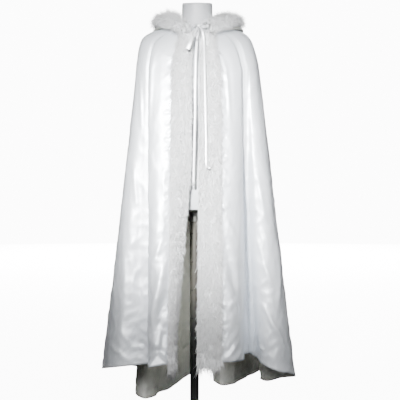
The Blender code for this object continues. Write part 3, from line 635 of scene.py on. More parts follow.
def seam_puckers(seam, side, count, seed):
    """Short level creases beside a fur seam, on the side away from the edge."""
    spread = np.random.default_rng(seed)
    rows = []
    for index in range(count):
        height = PUCKER_TOP - PUCKER_RUN * (index + spread.uniform(-0.35, 0.35)) / count
        reach = spread.uniform(0.25, 0.75)
        slope = spread.uniform(-0.014, 0.010)
        depth = spread.choice([-1, 1]) * spread.uniform(0.0014, 0.0032)
        rows.append((f"pucker {index}", seam + 0.02 * side, height, seam + reach * side,
                     height + slope, 0.0, spread.uniform(0.005, 0.009), depth))
    return rows


left_puckers = seam_puckers(FOLD_NAMES.index("left fur seam"), 1, 44, 5)
right_puckers = seam_puckers(FOLD_NAMES.index("right fur seam"), -1, 40, 6)
print("puckers", len(left_puckers) + len(right_puckers))

# %% [markdown]
# Each panel samples the same form far more finely than its solid. Three things move its points:
# the listed creases, fine crumples that grow stronger towards the hem, and a slow ripple
# down the folds. Near the shoulders the cloth lies on the form, so there it moves very little. At
# the hem beside the left fur, one corner is turned out, and its flat face shines.

# %% Cape panels
FLAP_TOP, FLAP_FRONT, FLAP_TILT, FLAP_SPREAD, FLAP_STEP = 0.296, -0.262, 0.36, 1.05, 0.006
FLAP_SOFT, RIPPLE = 0.0015, 0.0022
FOLD_SAMPLES, YOKE_SAMPLES, DROP_SAMPLES = 13, 34, 141
CRUMPLE_FINE, CRUMPLE_COARSE = (0.0004, 0.0016), (0.0010, 0.0024)  # at the top, more at the hem
CRUMPLE_TOP, CRUMPLE_RUN = 1.30, 1.1
FREE_FROM, FREE_RUN = 2.5, 3  # the levels of the yoke over which the cloth comes free of the form
PANELS = (
    # piece, its solid, first and last fold, creases
    ("satin_front_left", "front_left", "left edge", "left side",
     FRONT_CREASES + tuple(left_puckers)),
    ("satin_back_left", "back_left", "left side", "back centre", BACK_CREASES),
    ("satin_back_right", "back_right", "back centre", "right side", BACK_CREASES),
    ("satin_front_right", "front_right", "right side", "right edge",
     FRONT_CREASES + tuple(right_puckers)),
)


def turn_corner(points, folds, downs):
    """Turns the hem's corner beside the left fur out into a flat bright flap."""
    height = (1 - LIP_FROM) * (1 - np.abs(folds - LIP_AT) / FLAP_SPREAD)
    inside = np.clip((downs - 2 + height) / FLAP_STEP, 0, 1)
    flat = FLAP_FRONT - FLAP_TILT * (FLAP_TOP - points[..., 2])
    flat += FLAP_SOFT * lumps(points, 0.02, 17)
    points[..., 1] += inside * (flat - points[..., 1])


def cape_panel(name, first, last, creases):
    """A panel between two folds, and its grid of outer points."""
    start, end = FOLD_NAMES.index(first), FOLD_NAMES.index(last)
    folds = np.linspace(start, end, (end - start) * FOLD_SAMPLES + 1)
    downs = np.concatenate([np.linspace(0, 1, YOKE_SAMPLES)[:-1], np.linspace(1, 2, DROP_SAMPLES)])
    points = cape_points(folds[None, :], downs[:, None])
    low = np.clip((CRUMPLE_TOP - points[..., 2]) / CRUMPLE_RUN, 0, 1)
    free = np.clip((downs * CHEST - FREE_FROM) / FREE_RUN, 0, 1)[:, None]
    own = [row for row in creases if start - 0.5 <= (row[1] + row[3]) / 2 <= end + 0.5]
    push = crease_push(points, folds[None, :], own)
    fine = crumple(points, 0.045, 11) + 0.5 * lumps(points, 0.030, 15)
    coarse = crumple(points * (1, 1, 0.8), 0.120, 12) + 0.8 * lumps(points, 0.085, 16)
    for (top, hem), crumples in ((CRUMPLE_FINE, fine), (CRUMPLE_COARSE, coarse)):
        push = push + (top + hem * low) * crumples
    push = push + RIPPLE * lumps(points * (1, 1, 0.10), 0.045, 13)
    points = points + outward(points) * (push * free)[..., None]
    if start == 0:
        turn_corner(points, folds[None, :], downs[:, None])
    seam_gaps(points, start > 0, end < len(FOLDS) - 1)
    return shell(name, points), points


cloth, grids = {}, {}
for name, node, first, last, creases in PANELS:
    cloth[node], grids[node] = cape_panel(name, first, last, creases)
    stand_in(cloth[node], node)
    triangles, area = facts(cloth[node])
    print(name, triangles, "triangles", round(area, 3), "square metres")

# %% [markdown]
# The hood is a bag laid back over the shoulders. Its cloth runs down from the neckline, turns,
# and comes up again to the rim under the fur. Each row gives the angle round the neck, how deep
# the bag hangs there, how full it is, and how high its rim lies.

# %% The hood's form
HOOD = (
    ("left corner", 50.0, 1.75, 0.00, 1.45),
    ("left shoulder", 84.0, 2.30, 0.00, 2.05),
    ("left back", 116.0, 3.50, 0.20, 2.75),
    ("left bag", 148.0, 6.80, 0.85, 2.75),
    ("bag", 180.0, 7.90, 1.00, 2.70),
    ("right bag", 212.0, 6.80, 0.85, 2.75),
    ("right back", 244.0, 3.50, 0.20, 2.75),
    ("right shoulder", 276.0, 2.75, 0.02, 2.55),
    ("right corner", 310.0, 1.75, 0.00, 1.45),
)
HOOD_ROWS = [row[1:] for row in HOOD]
HOOD_LIFT, HOOD_LIFT_YOKE, HOOD_LIFT_BACK = 0.0015, 0.0030, 0.0170
HOOD_LAYER_GAP, HOOD_PUFF, HOOD_SOFT = 0.0026, 0.062, 0.004
HOOD_START, HOOD_TURN, HOOD_BELLY = 0.15, 0.5, 1.25
HOOD_FREE, HOOD_FREE_RUN = 0.55, 0.2
HOOD_COLUMNS, HOOD_DOWN = 61, 93
BACK_FROM, BACK_RUN, BACK_SLOPE = 2.2, 2.8, (0.020, 0.085)  # out and down, for each level


def smooth_back(angle, level):
    """The back of the cape with its folds ironed out, for what hangs over it."""
    yoke = ring_points(angle, np.minimum(level, CHEST))
    chest = ring_points(angle, np.full_like(level, CHEST))
    away = unit(chest * (1, 1, 0) - (AXIS_X, 0, 0))
    below = np.clip(level - CHEST, 0, None)[..., None]
    return yoke + (away * BACK_SLOPE[0] - (0, 0, BACK_SLOPE[1])) * below


def hood_points(at, share):
    """Points on the hood's cloth. share runs from the neckline (0) over the turn to the rim (1)."""
    at, share = np.broadcast_arrays(np.asarray(at, float), np.asarray(share, float))
    rows = through_rows(HOOD_ROWS, even_spots(HOOD), at)
    angle, depth, full, rim = np.moveaxis(rows, -1, 0)
    under = share <= HOOD_TURN
    back = np.clip((share - HOOD_TURN) / (1 - HOOD_TURN), 0, 1)
    ahead = HOOD_START + (depth - HOOD_START) * np.sin(np.minimum(share / HOOD_TURN, 1) * np.pi / 2)
    level = np.where(under, ahead, depth + (rim - depth) * (1 - np.cos(back * np.pi / 2)))
    belly = np.sin(np.minimum(back * HOOD_BELLY, 1) * np.pi / 2)
    stand = np.where(under, 0, HOOD_LAYER_GAP + HOOD_PUFF * np.clip(full, 0, 2) * belly)
    here = smooth_back(angle, level)
    normal = normal_at(smooth_back, angle, level)
    lift = HOOD_LIFT + (HOOD_LIFT_YOKE - HOOD_LIFT) * np.minimum(level, 1)
    far = np.clip((level - BACK_FROM) / BACK_RUN, 0, 1)
    lift = lift + (HOOD_LIFT_BACK - HOOD_LIFT_YOKE) * far
    return here + normal * (WALL + lift + stand)[..., None]


def hood_half(name, first, last):
    """Half of the hood, and its grid of outer points."""
    at, share = np.linspace(first, last, HOOD_COLUMNS), np.linspace(0, 1, HOOD_DOWN)
    points = hood_points(at[None, :], share[:, None])
    out = np.clip((share - HOOD_FREE) / HOOD_FREE_RUN, 0, 1)[:, None]
    soft = lumps(points * (1, 1, 0.5), 0.055, 21) + crumple(points, 0.08, 22) - 0.25
    points = points + outward(points) * (HOOD_SOFT * soft * out)[..., None]
    seam_gaps(points, first > 0, first == 0)
    return shell(name, points), points


middle = (len(HOOD) - 1) / 2
for node, first, last in (("hood_left", 0.0, middle), ("hood_right", middle, len(HOOD) - 1.0)):
    cloth[node], grids[node] = hood_half("satin_" + node, first, last)
    stand_in(cloth[node], node)
    print(node, facts(cloth[node]))

# %% [markdown]
# Faux fur is a dense pile on a knitted backing. Close up it is locks of fine hair; their colour
# is darker towards the root, as painted shade between the locks. Each lock carries two values from
# its tree: along, from the root (0) to the tip (1), and tint, a random number of its own. The
# undercoat between them has the root's colour, so it is painted shade too.

# %% Fur finish
fur_finish = Finish("white faux fur", Roughness=0.75, Sheen_Weight=0.8, Sheen_Roughness=0.5,
                    Specular_IOR_Level=0.25)
patches = fur_finish.cloud(fur_finish.place(), 28.0, 3.0)
# Painted shade: darker towards each lock's root and on the undercoat; tint and patches are random
# tone.
fur_shade = fur_finish.mark("along") * 0.55 + fur_finish.mark("tint") * 0.25 + patches * 0.30
fur_finish.feed("Base Color", fur_finish.blend(fur_shade, (0.86, 0.88, 0.89), (1.0, 1.0, 1.0)))
fur_finish.relief(fur_finish.cloud(fur_finish.place((1, 1, 0.4)), 420.0, 4.0), 0.0008)
print("fur finish", fur_finish.material.name)

# %% [markdown]
# The pile is grown by Geometry Nodes. The tree scatters points over the undercoat, stands a
# lock on each, leans it the way the pile is combed, and lets neighbours gather into tufts. A
# lock is a three-sided spike of ten triangles with one bend, because there are thousands. The
# tree ends by realizing the locks and joining them to the undercoat.

# %% The pile's tree
TUFT_SCALE, LOCK_BEND, NO_PILE = 62.0, 0.42, 0.001


def named_tree(name, sizes):
    """An empty Geometry Nodes tree with a mesh going in and out, and named number inputs."""
    tree = bpy.data.node_groups.new(name, "GeometryNodeTree")
    tree.is_modifier = True
    for way in ("INPUT", "OUTPUT"):
        tree.interface.new_socket("Geometry", in_out=way, socket_type="NodeSocketGeometry")
    for size in sizes:
        tree.interface.new_socket(size, in_out="INPUT", socket_type="NodeSocketFloat")
    nodes, given = Nodes(tree), tree.nodes.new("NodeGroupInput").outputs
    return nodes, {socket.name: Socket(nodes, socket) for socket in given}


def ended(nodes, geometry, finish):
    """Gives what a tree makes its material, and leads it out."""
    done = nodes.add("GeometryNodeSetMaterial", {"Geometry": geometry, "Material": finish})
    nodes.tree.links.new(done.output, nodes.tree.nodes.new("NodeGroupOutput").inputs[0])
    return nodes.tree


def pile_tree(finish):
    """Locks of hair on the points of a piece that carry a comb, a flow and a reach."""
    nodes, value = named_tree("pile", ("Locks per square metre", "Lock width", "Jitter", "Tufts"))
    comb, flow, reach = (
        nodes.add("GeometryNodeInputNamedAttribute", {"Name": name}, data_type=kind)
        for name, kind in (("comb", "FLOAT_VECTOR"), ("flow", "FLOAT_VECTOR"), ("reach", "FLOAT")))
    hairy = nodes.add("FunctionNodeCompare", {0: reach, 1: NO_PILE}, operation="GREATER_THAN",
                      data_type="FLOAT")
    spots = nodes.add("GeometryNodeDistributePointsOnFaces", {
        "Mesh": value["Geometry"], "Selection": hairy,
        "Density": value["Locks per square metre"], "Seed": 7})

    def vector(operation, first, second):
        return nodes.add("ShaderNodeVectorMath", {0: first, 1: second}, operation=operation)

    def scaled(first, size):
        return nodes.add("ShaderNodeVectorMath", {0: first, "Scale": size}, operation="SCALE")

    def chance(low, high, seed):
        return nodes.add("FunctionNodeRandomValue", {2: low, 3: high, "Seed": seed}, output=1)

    shake = nodes.add("FunctionNodeRandomValue", {0: (-1, -1, -1), 1: (1, 1, 1), "Seed": 3},
                      data_type="FLOAT_VECTOR")
    place = nodes.add("GeometryNodeInputPosition")
    cloud = nodes.add("ShaderNodeTexNoise", {
        "Vector": place, "Scale": TUFT_SCALE, "Detail": 1.0}, output=1)
    tuft = scaled(vector("SUBTRACT", cloud, (0.5, 0.5, 0.5)), value["Tufts"])
    lean = vector("ADD", vector("ADD", comb, tuft), scaled(shake, value["Jitter"]))
    upright = nodes.add("FunctionNodeAlignRotationToVector", {"Vector": lean}, axis="Z")
    facing = nodes.add("FunctionNodeAlignRotationToVector", {"Rotation": upright, "Vector": flow},
                       axis="X", pivot_axis="Z")
    twist = nodes.add("FunctionNodeAxisAngleToRotation", {
        "Axis": (0, 0, 1), "Angle": chance(-0.8, 0.8, 4)})
    turn = nodes.add("FunctionNodeRotateRotation", {"Rotation": facing, "Rotate By": twist},
                     rotation_space="LOCAL")

    lock = nodes.add("GeometryNodeMeshCone", {
        "Vertices": 3, "Side Segments": 2, "Radius Top": 0.0, "Radius Bottom": value["Lock width"],
        "Depth": 1.0})
    height = nodes.add(
        "ShaderNodeSeparateXYZ", {0: nodes.add("GeometryNodeInputPosition")}, output=2)
    bend = nodes.add("ShaderNodeCombineXYZ", {0: height * height * LOCK_BEND})
    lock = nodes.add("GeometryNodeStoreNamedAttribute", {
        "Geometry": lock, "Name": "along", "Value": height}, data_type="FLOAT", domain="POINT")
    lock = nodes.add("GeometryNodeSetPosition", {"Geometry": lock, "Offset": bend})
    thick = chance(0.7, 1.35, 5)
    long = reach * chance(0.62, 1.15, 6)
    size = nodes.add("ShaderNodeCombineXYZ", {0: long * thick, 1: long * thick, 2: long})
    pile = nodes.add("GeometryNodeInstanceOnPoints", {
        "Points": spots, "Instance": lock, "Rotation": turn, "Scale": size})
    pile = nodes.add("GeometryNodeStoreNamedAttribute", {
        "Geometry": pile, "Name": "tint", "Value": chance(0.0, 1.0, 8)},
        data_type="FLOAT", domain="INSTANCE")
    pile = nodes.add("GeometryNodeRealizeInstances", {"Geometry": pile})
    both = nodes.add("GeometryNodeJoinGeometry", {0: pile})
    nodes.tree.links.new(value["Geometry"].output, both.output.node.inputs[0])
    return ended(nodes, both, finish)


def applied(piece, modifier):
    """Keeps what a modifier makes of a piece as a plain mesh, and drops the modifier."""
    result = bpy.data.meshes.new_from_object(
        piece.evaluated_get(bpy.context.evaluated_depsgraph_get()))
    piece.modifiers.remove(modifier)
    piece.data = result
    return piece


def grown(piece, tree, **sizes):
    """Runs a tree on a piece, with its sizes set by name, and keeps the result."""
    modifier = piece.modifiers.new("grow", "NODES")
    given = [(item, sizes[key]) for item in tree.interface.items_tree
             if (key := item.name.replace(" ", "_").lower()) in sizes]
    for item, size in given:
        item.default_value = size
    modifier.node_group = tree
    for item, size in given:
        modifier[item.identifier] = size
    applied(piece, modifier).data.shade_smooth()
    return piece


fur_tree = pile_tree(fur_finish.material)
print("pile tree", len(fur_tree.nodes), "nodes")

# %% [markdown]
# The hem is turned up and sewn down with one row of stitches, and the seams are pressed and
# stitched beside the join. A stitch is a short piece of thread, so a second tree walks along a
# line, stops at every stitch and lays a tiny rod there. The lines lie on the finished cloth, at
# a fixed distance from its edges.

# %% Stitches
HEM_DEPTH, SEAM_REACH = 0.014, 0.004
STITCH_PITCH, STITCH_LENGTH, THREAD_WIDTH, THREAD_SHOWS = 0.0052, 0.0036, 0.0009, 0.0002

thread = Finish("white thread", Roughness=0.55, Specular_IOR_Level=0.3)
twist = thread.cloud(thread.place(), 900.0, 2.0)
thread.feed("Base Color", thread.blend(twist, (0.70, 0.72, 0.74), (0.82, 0.84, 0.86)))


def stitch_tree(finish):
    """A tiny rod at every step along the lines of a piece."""
    nodes, value = named_tree("stitches", ("Pitch", "Length", "Thread width"))
    line = nodes.add("GeometryNodeMeshToCurve", {"Mesh": value["Geometry"]})
    line = nodes.add("GeometryNodeResampleCurve", {"Curve": line, "Length": value["Pitch"]},
                     mode="LENGTH")
    rod = nodes.add("GeometryNodeMeshCylinder", {
        "Vertices": 5, "Radius": value["Thread width"] * 0.5, "Depth": value["Length"]})
    along = nodes.add("FunctionNodeAlignRotationToVector", {
        "Vector": nodes.add("GeometryNodeInputTangent")}, axis="Z")
    sewn = nodes.add("GeometryNodeInstanceOnPoints", {
        "Points": line, "Instance": rod, "Rotation": along})
    return ended(nodes, nodes.add("GeometryNodeRealizeInstances", {"Geometry": sewn}), finish)


def edge_first(grid, edge):
    """The grid turned so that one of its edges is the first row."""
    if edge == "hem":
        return grid[::-1]
    if edge == "first":
        return grid.transpose(1, 0, 2)
    return grid[:, ::-1].transpose(1, 0, 2)


def line_inside(grid, edge, reach):
    """A line on a grid of cloth, at a fixed distance from one of its edges."""
    faced = edge_first(np.concatenate([grid, outward(grid)], axis=-1), edge)
    run = run_length(faced[..., :3], 0)
    line = np.array([[np.interp(reach, run[:, column], faced[:, column, k]) for k in range(6)]
                     for column in range(faced.shape[1])])
    return line[:, :3] + line[:, 3:] * THREAD_SHOWS


def stitched(name, lines):
    """Rows of stitches along lines of points."""
    joined, edges, first = np.concatenate(lines), [], 0
    for line in lines:
        edges += [(first + k, first + k + 1) for k in range(len(line) - 1)]
        first += len(line)
    mesh = bpy.data.meshes.new(name)
    mesh.from_pydata(joined, edges, [])
    piece = bpy.data.objects.new(name, mesh)
    bpy.context.collection.objects.link(piece)
    grown(piece, thread_tree, pitch=STITCH_PITCH, length=STITCH_LENGTH, thread_width=THREAD_WIDTH)
    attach(piece, "root")
    print(name, facts(piece)[0], "triangles")
    return piece


thread_tree = stitch_tree(thread.material)
SEAM_LINES = {
    # the first row of the grid that shows, and the edges with stitches
    "front_left": (22, ("hem", "last")),
    "back_left": (22, ("hem", "first", "last")),
    "back_right": (22, ("hem", "first", "last")),
    "front_right": (22, ("hem", "first")),
    "hood_left": (48, ("hem", "last")),
    "hood_right": (48, ("hem", "first")),
}
for node, (row, edges) in SEAM_LINES.items():
    lines = [line_inside(grids[node][row:], edge, HEM_DEPTH if edge == "hem" else SEAM_REACH)
             for edge in edges]
    stitched("stitches_" + node, lines)

# %% [markdown]
# The undercoat is a closed body a pile's length inside the solid, so the tips reach the solid's
# own surface. Along each front it is a low cushion between the front edge and the fur seam. Its
# points carry the direction of the comb and the pile's length, which is nothing at the back,
# where the fur lies on the satin.

# %% Undercoats
FUR_REACH, FUR_PAST_EDGE, FUR_BELOW_HEM = 0.027, 0.0014, 0.0096
FUR_BACKING, FUR_GAP, EDGE_SHARE = 0.0016, 0.0004, 0.08
FUR_TOP = 1.1 / CHEST
COLLAR_FOOT = 3.4 / CHEST
PILE = 0.024
WISPS_FROM = 1.93
CUSHION, CUSHION_LUMPS = 0.50, ((0.16, 0.024, 31), (0.10, 0.010, 32))  # strength, size, seed
KNOT = np.array((0.017, -0.1260, 1.533))
BOW_DROP, BOW_SQUASH, BOW_REACH, PRESSED = 0.03, 0.8, 0.055, 0.35


def loft(name, rings, finish):
    """A closed body through rings of points, with a fan of faces on each end."""
    count, sides = rings.shape[:2]
    number = np.arange(count * sides).reshape(count, sides)
    after = np.roll(number, -1, axis=1)
    quads = np.stack([number[:-1], after[:-1], after[1:], number[1:]], -1).reshape(-1, 4)
    points = np.concatenate([rings.reshape(-1, 3), rings[[0, -1]].mean(axis=1)])
    first, last = count * sides, count * sides + 1
    faces = quads.tolist()
    faces += [[after[0, k], number[0, k], first] for k in range(sides)]
    faces += [[number[-1, k], after[-1, k], last] for k in range(sides)]
    return mesh_piece(name, points, faces, finish)


def give(piece, name, values):
    """Stores a value or a vector for every point of a piece."""
    kind, key = ("FLOAT", "value") if values.ndim == 1 else ("FLOAT_VECTOR", "vector")
    piece.data.attributes.new(name, kind, "POINT").data.foreach_set(key, values.ravel())


def under_bow(points):
    """The pile's share of its length: under the bow it is pressed flat."""
    off = np.hypot(points[..., 0] - KNOT[0], (points[..., 2] - KNOT[2] + BOW_DROP) * BOW_SQUASH)
    return np.clip(off / BOW_REACH, PRESSED, 1.0)


def front_undercoat(name, edge, seam, collar, wisps, across=15, rows=150):
    """The cushion under the pile down one front."""
    edge_row, seam_row = FOLD_NAMES.index(edge), FOLD_NAMES.index(seam)
    side = 1 if seam_row > edge_row else -1
    down = np.linspace(FUR_TOP, 2.0, rows)[:, None]
    share = np.linspace(0, 1, across)[None, :]
    flare = 1 + collar * np.clip((COLLAR_FOOT - down) / (COLLAR_FOOT - FUR_TOP), 0, 1) ** 1.5
    fold = edge_row + side * flare * np.clip(share - EDGE_SHARE, 0, 1) / (1 - EDGE_SHARE)
    fold, down = np.broadcast_arrays(fold, down)
    base = cape_points(fold, down)
    step = 0.02
    along = unit(cape_points(np.minimum(fold + step, len(FOLDS) - 1), down)
                 - cape_points(np.maximum(fold - step, 0), down))
    fall = unit(cape_points(fold, np.minimum(down + step, 2)) - cape_points(fold, down - step))
    normal = unit(np.cross(along, fall))
    past = np.clip(EDGE_SHARE - share, 0, 1) / EDGE_SHARE * FUR_PAST_EDGE
    base = base - along * side * past[..., None]
    base[-1] -= (0, 0, FUR_BELOW_HEM)
    profile = (1 - np.abs(2 * share - 1) ** 2.4) ** 0.8
    swell = CUSHION + sum(gain * lumps(base, size, seed) for gain, size, seed in CUSHION_LUMPS)
    swell = swell * np.clip((down - FUR_TOP) / 0.12, 0.1, 1)
    clear = FUR_GAP + FUR_BACKING * np.sin(np.pi * share)
    top = base + normal * (clear + 0.001 + swell * FUR_REACH * profile * 0.75)[..., None]
    back = (base + normal * clear[..., None])[:, ::-1]
    rings = np.concatenate([top, back], axis=1)
    if side < 0:
        rings = rings[:, ::-1]
    piece = loft(name, rings, fur_finish.material)

    def all_round(front, back):
        return np.concatenate([front, back[:, ::-1]], axis=1)[:, ::side]

    outer = all_round(np.ones_like(share), np.zeros_like(share))
    sideways = along * side * ((share - 0.5) * np.where(share < 0.5, 0.3, 1.5))[..., None]
    end = np.clip((down - WISPS_FROM) / (2 - WISPS_FROM), 0, 1)[..., None]
    lean = normal * (0.55 - 0.35 * end) + fall * (0.85 + 0.5 * end) + sideways * (1 - 0.7 * end)
    for name, values, ends in (("comb", lean, [(0, 0, 1), (0, -0.2, -1)]),
                               ("flow", fall, [(0, 1, 0), (0, -1, 0)])):
        give(piece, name, np.concatenate([all_round(values, values).reshape(-1, 3), ends]))
    ragged = np.clip(0.45 + 1.1 * lumps(rings, 0.012, 33), 0, 1.5)
    reach = PILE * outer * under_bow(rings) * (1 + wisps * end[:, :1, 0] * ragged)
    give(piece, "reach", np.concatenate([reach.ravel(), [0, PILE]]))
    return piece


left_fur = front_undercoat("fur_left", "left edge", "left fur seam", 0.9, 2.6)
right_fur = front_undercoat("fur_right", "right edge", "right fur seam", 1.3, 1.3)
print("undercoats", facts(left_fur), facts(right_fur))

# %% [markdown]
# Round the hood's edge the same fur is rolled over into a thick sausage. It lies on the
# shoulders and meets under the chin. Its centre line and thickness are the frame's.

# %% The hood's roll
ROLL = (
    # angle, level on the yoke, lift off the cape, width, thickness
    ("left bow end", 10.0, 1.00, 0.0010, 0.060, 0.034),
    ("left front", 27.0, 1.02, 0.0062, 0.076, 0.044),
    ("left shoulder front", 54.0, 1.20, 0.0100, 0.094, 0.054),
    ("left shoulder", 88.0, 1.50, 0.0103, 0.104, 0.059),
    ("left back", 130.0, 1.70, 0.0104, 0.092, 0.058),
    ("back", 180.0, 1.60, 0.0104, 0.084, 0.056),
    ("right back", 230.0, 1.70, 0.0104, 0.092, 0.058),
    ("right shoulder", 272.0, 1.65, 0.0103, 0.106, 0.059),
    ("right shoulder front", 306.0, 1.25, 0.0100, 0.094, 0.054),
    ("right front", 333.0, 1.02, 0.0062, 0.076, 0.044),
    ("right bow end", 348.0, 1.00, 0.0010, 0.060, 0.034),
)
ROLL_ROWS = [row[1:] for row in ROLL]
ROLL_PILE, ROLL_DROP, ROLL_INSET = 0.026, 0.009, 0.0115
ROLL_LUMPS = ((0.0035, 0.030, 41), (0.0020, 0.013, 42))  # strength, size, seed


def roll_undercoat(name, count=190, sides=40):
    """The body under the pile of the roll round the hood's edge."""
    at = np.linspace(0, len(ROLL) - 1, count)
    angle, level, lift, width, thick = np.moveaxis(
        through_rows(ROLL_ROWS, even_spots(ROLL), at), -1, 0)
    normal = normal_at(ring_points, angle, level)
    centre = ring_points(angle, level) + normal * (lift + thick / 2)[:, None]
    direction = unit(np.gradient(centre, axis=0))
    sideways = unit(np.cross(direction, normal))
    upward = unit(np.cross(sideways, direction))
    turn = 2 * np.pi * np.arange(sides) / sides
    across = sideways[:, None] * np.cos(turn)[None, :, None]
    over = upward[:, None] * np.sin(turn)[None, :, None]
    ends = np.clip(np.minimum(np.arange(count), np.arange(count)[::-1]) / 7, 0, 1)
    round_off = (0.35 + 0.65 * np.sin(ends * np.pi / 2))[:, None, None]
    wide, high = ((size / 2 - ROLL_INSET)[:, None, None] for size in (width, thick))
    rings = centre[:, None] + (across * wide + over * high) * round_off - (0, 0, ROLL_DROP)
    away = unit(across / wide + over / high)
    puff = sum(gain * lumps(rings, size, seed) for gain, size, seed in ROLL_LUMPS)
    rings = (rings + away * puff[..., None])[:, ::-1]
    away = away[:, ::-1]
    piece = loft(name, rings, fur_finish.material)
    lean = away * 0.8 + np.array((0, 0, -0.35)) + direction[:, None] * 0.25
    flow = unit(np.cross(away, np.cross((0, 0, -1), away)) + 0.001)
    ends = np.zeros((2, 3)) + (0, -1, 0)
    give(piece, "comb", np.concatenate([lean.reshape(-1, 3), ends]))
    give(piece, "flow", np.concatenate([flow.reshape(-1, 3), ends]))
    under = np.clip(1.5 + 2.2 * (away * upward[:, None]).sum(-1), 0.45, 1) * under_bow(rings)
    give(piece, "reach", np.concatenate([(ROLL_PILE * under).ravel(), [ROLL_PILE] * 2]))
    return piece


roll_fur = roll_undercoat("fur_roll")
print("roll", facts(roll_fur))

# %% [markdown]
# Now the pile grows. The front borders get more locks a square metre than the roll, because
# their hair is shorter.

# %% Grow the pile
LOCK_WIDTH = 0.036  # a share of the lock's length
for piece, node, density, tufts in (
        (left_fur, "fur_front_left", 118000, 1.5), (right_fur, "fur_front_right", 118000, 1.5),
        (roll_fur, "fur_hood", 96000, 1.6)):
    grown(piece, fur_tree, locks_per_square_metre=density, lock_width=LOCK_WIDTH, jitter=0.34,
          tufts=tufts)
    stand_in(piece, node)
    print(piece.name, facts(piece)[0], "triangles")

# %% [markdown]
# The ribbon is 10 mm wide. It is gathered where it leaves the knot, and cupped a little across
# its width, which gives it a bright edge. The tip of the short end opens out. The bow's points are
# the frame's, from the knot.

# %% Ribbon
RIBBON_WIDTH, RIBBON_THICK, RIBBON_CUP = 0.010, 0.0008, 0.0009
GATHERED, RIPPLES, TIP_LONG, TIP_OPENS = 0.45, 9, 1.6, 1.2
LOOP_LEFT = (
    (-0.0083, 0.001, 0.001), (-0.020, -0.020, -0.012), (-0.025, -0.038, -0.034),
    (-0.016, -0.049, -0.051), (-0.004, -0.046, -0.042), (-0.001, -0.030, -0.024),
    (-0.001, -0.0105, -0.0070),
)
LOOP_RIGHT = (
    (0.0082, 0.0005, 0.0032), (0.018, -0.010, 0.0135), (0.031, -0.022, 0.014),
    (0.037, -0.028, 0.003), (0.029, -0.022, -0.007), (0.018, -0.011, -0.0075),
    (0.0092, -0.0015, -0.0036),
)
SHORT_END = (
    (-0.0040, -0.0016, -0.0052), (-0.012, -0.013, -0.022), (-0.021, -0.027, -0.044),
    (-0.031, -0.038, -0.070), (-0.043, -0.040, -0.099),
)
TAIL_LEFT = (
    (-0.0005, 0.0036, -0.0058), (-0.004, 0.001, -0.030), (-0.010, -0.013, -0.110),
    (-0.013, -0.020, -0.240), (-0.014, -0.021, -0.360), (-0.017, -0.021, -0.480),
    (-0.020, -0.022, -0.618),
)
TAIL_RIGHT_START = ((0.0040, 0.0004, -0.0056), (0.014, -0.014, -0.022))


def ribbon(name, middles, side, both_ends=False, opens=1.0, samples=9, across=7):
    """A stretch of ribbon along its middle points, with its width turned towards one side."""
    rows = np.hstack([np.asarray(middles, float), [side] * len(middles)])
    at = np.linspace(0, len(rows) - 1, (len(rows) - 1) * samples + 1)
    read = through_rows(rows, spaced_spots(rows, 3), at)
    centre, wide = read[:, :3], read[:, 3:]
    direction = unit(np.gradient(centre, axis=0))
    wide = unit(wide - direction * (wide * direction).sum(-1, keepdims=True))
    face = unit(np.cross(direction, wide))
    away = at if not both_ends else np.minimum(at, at[::-1])
    gather = np.minimum(1.0, GATHERED + (1 - GATHERED) * away)
    gather = gather * (1 + (opens - 1) * np.clip((at - at[-1] + TIP_LONG) / TIP_OPENS, 0, 1))
    share = np.linspace(-1, 1, across)
    cup = RIBBON_CUP * (1 - share ** 2)
    cup = cup + RIBBON_CUP * np.clip(1 - gather[:, None], 0, 1) * np.cos(share * RIPPLES)
    flat = wide[:, None] * (share * RIBBON_WIDTH / 2)[:, None] * gather[:, None, None]
    outer = centre[:, None] + flat + face[:, None] * cup[..., None]
    rings = np.concatenate([outer, (outer - face[:, None] * RIBBON_THICK)[:, ::-1]], axis=1)
    piece = loft("bow_" + name, rings, ribbon_satin)
    length = np.linalg.norm(np.diff(centre, axis=0), axis=1).sum()
    stand_in(piece, "ribbon_" + name)
    print(piece.name, "length", round(length, 3), facts(piece))
    bow[name] = piece, length


FACING, UPRIGHT, DEEP, SLANTED = (1, 0, 0), (0.4, 0, 1), (0.3, -0.5, 0.8), (0.9, -0.1, -0.35)
bow = {}
for name, offsets, side, settings in (
        ("loop_left", LOOP_LEFT, DEEP, {"both_ends": True}),
        ("loop_right", LOOP_RIGHT, DEEP, {"both_ends": True}),
        ("end_short", SHORT_END, SLANTED, {"opens": 1.7}),
        ("tail_left", TAIL_LEFT, FACING, {})):
    ribbon(name, KNOT + np.array(offsets), side, **settings)

# %% [markdown]
# The right tail hangs down over the right fur. Its points follow the front of the pile, at the
# places where it crosses the fur.

# %% The right tail and the ties
TAIL_RIGHT = (
    (0.037, 1.470), (0.039, 1.390), (0.041, 1.290), (0.043, 1.190), (0.045, 1.090), (0.047, 0.986),
)
TAIL_LIFT = 0.0045
TIES = (("tie_left", 6.5, -1), ("tie_right", 355.5, 1))  # the angle on the yoke and the side
TIE_LEVEL, TIE_LIFT = 0.12, 0.0040


def fur_front(x, z, edge, seam):
    """The foremost point of a fur border's solid at a place seen from the front."""
    edge_row, seam_row = FOLD_NAMES.index(edge), FOLD_NAMES.index(seam)
    share = np.linspace(0, 1, 60)[None, :]
    down = np.linspace(FUR_TOP, 2, 240)[:, None]
    fold = edge_row + (seam_row - edge_row) * np.clip(share - EDGE_SHARE, 0, 1) / (1 - EDGE_SHARE)
    base = cape_points(fold, down)
    profile = (1 - np.abs(2 * share - 1) ** 3) ** 0.5
    front = base + unit(base * (1, 1, 0)) * (0.004 + (FUR_REACH - 0.004) * profile)[..., None]
    miss = np.hypot(front[..., 0] - x, front[..., 2] - z)
    return front.reshape(-1, 3)[miss.argmin(), 1]


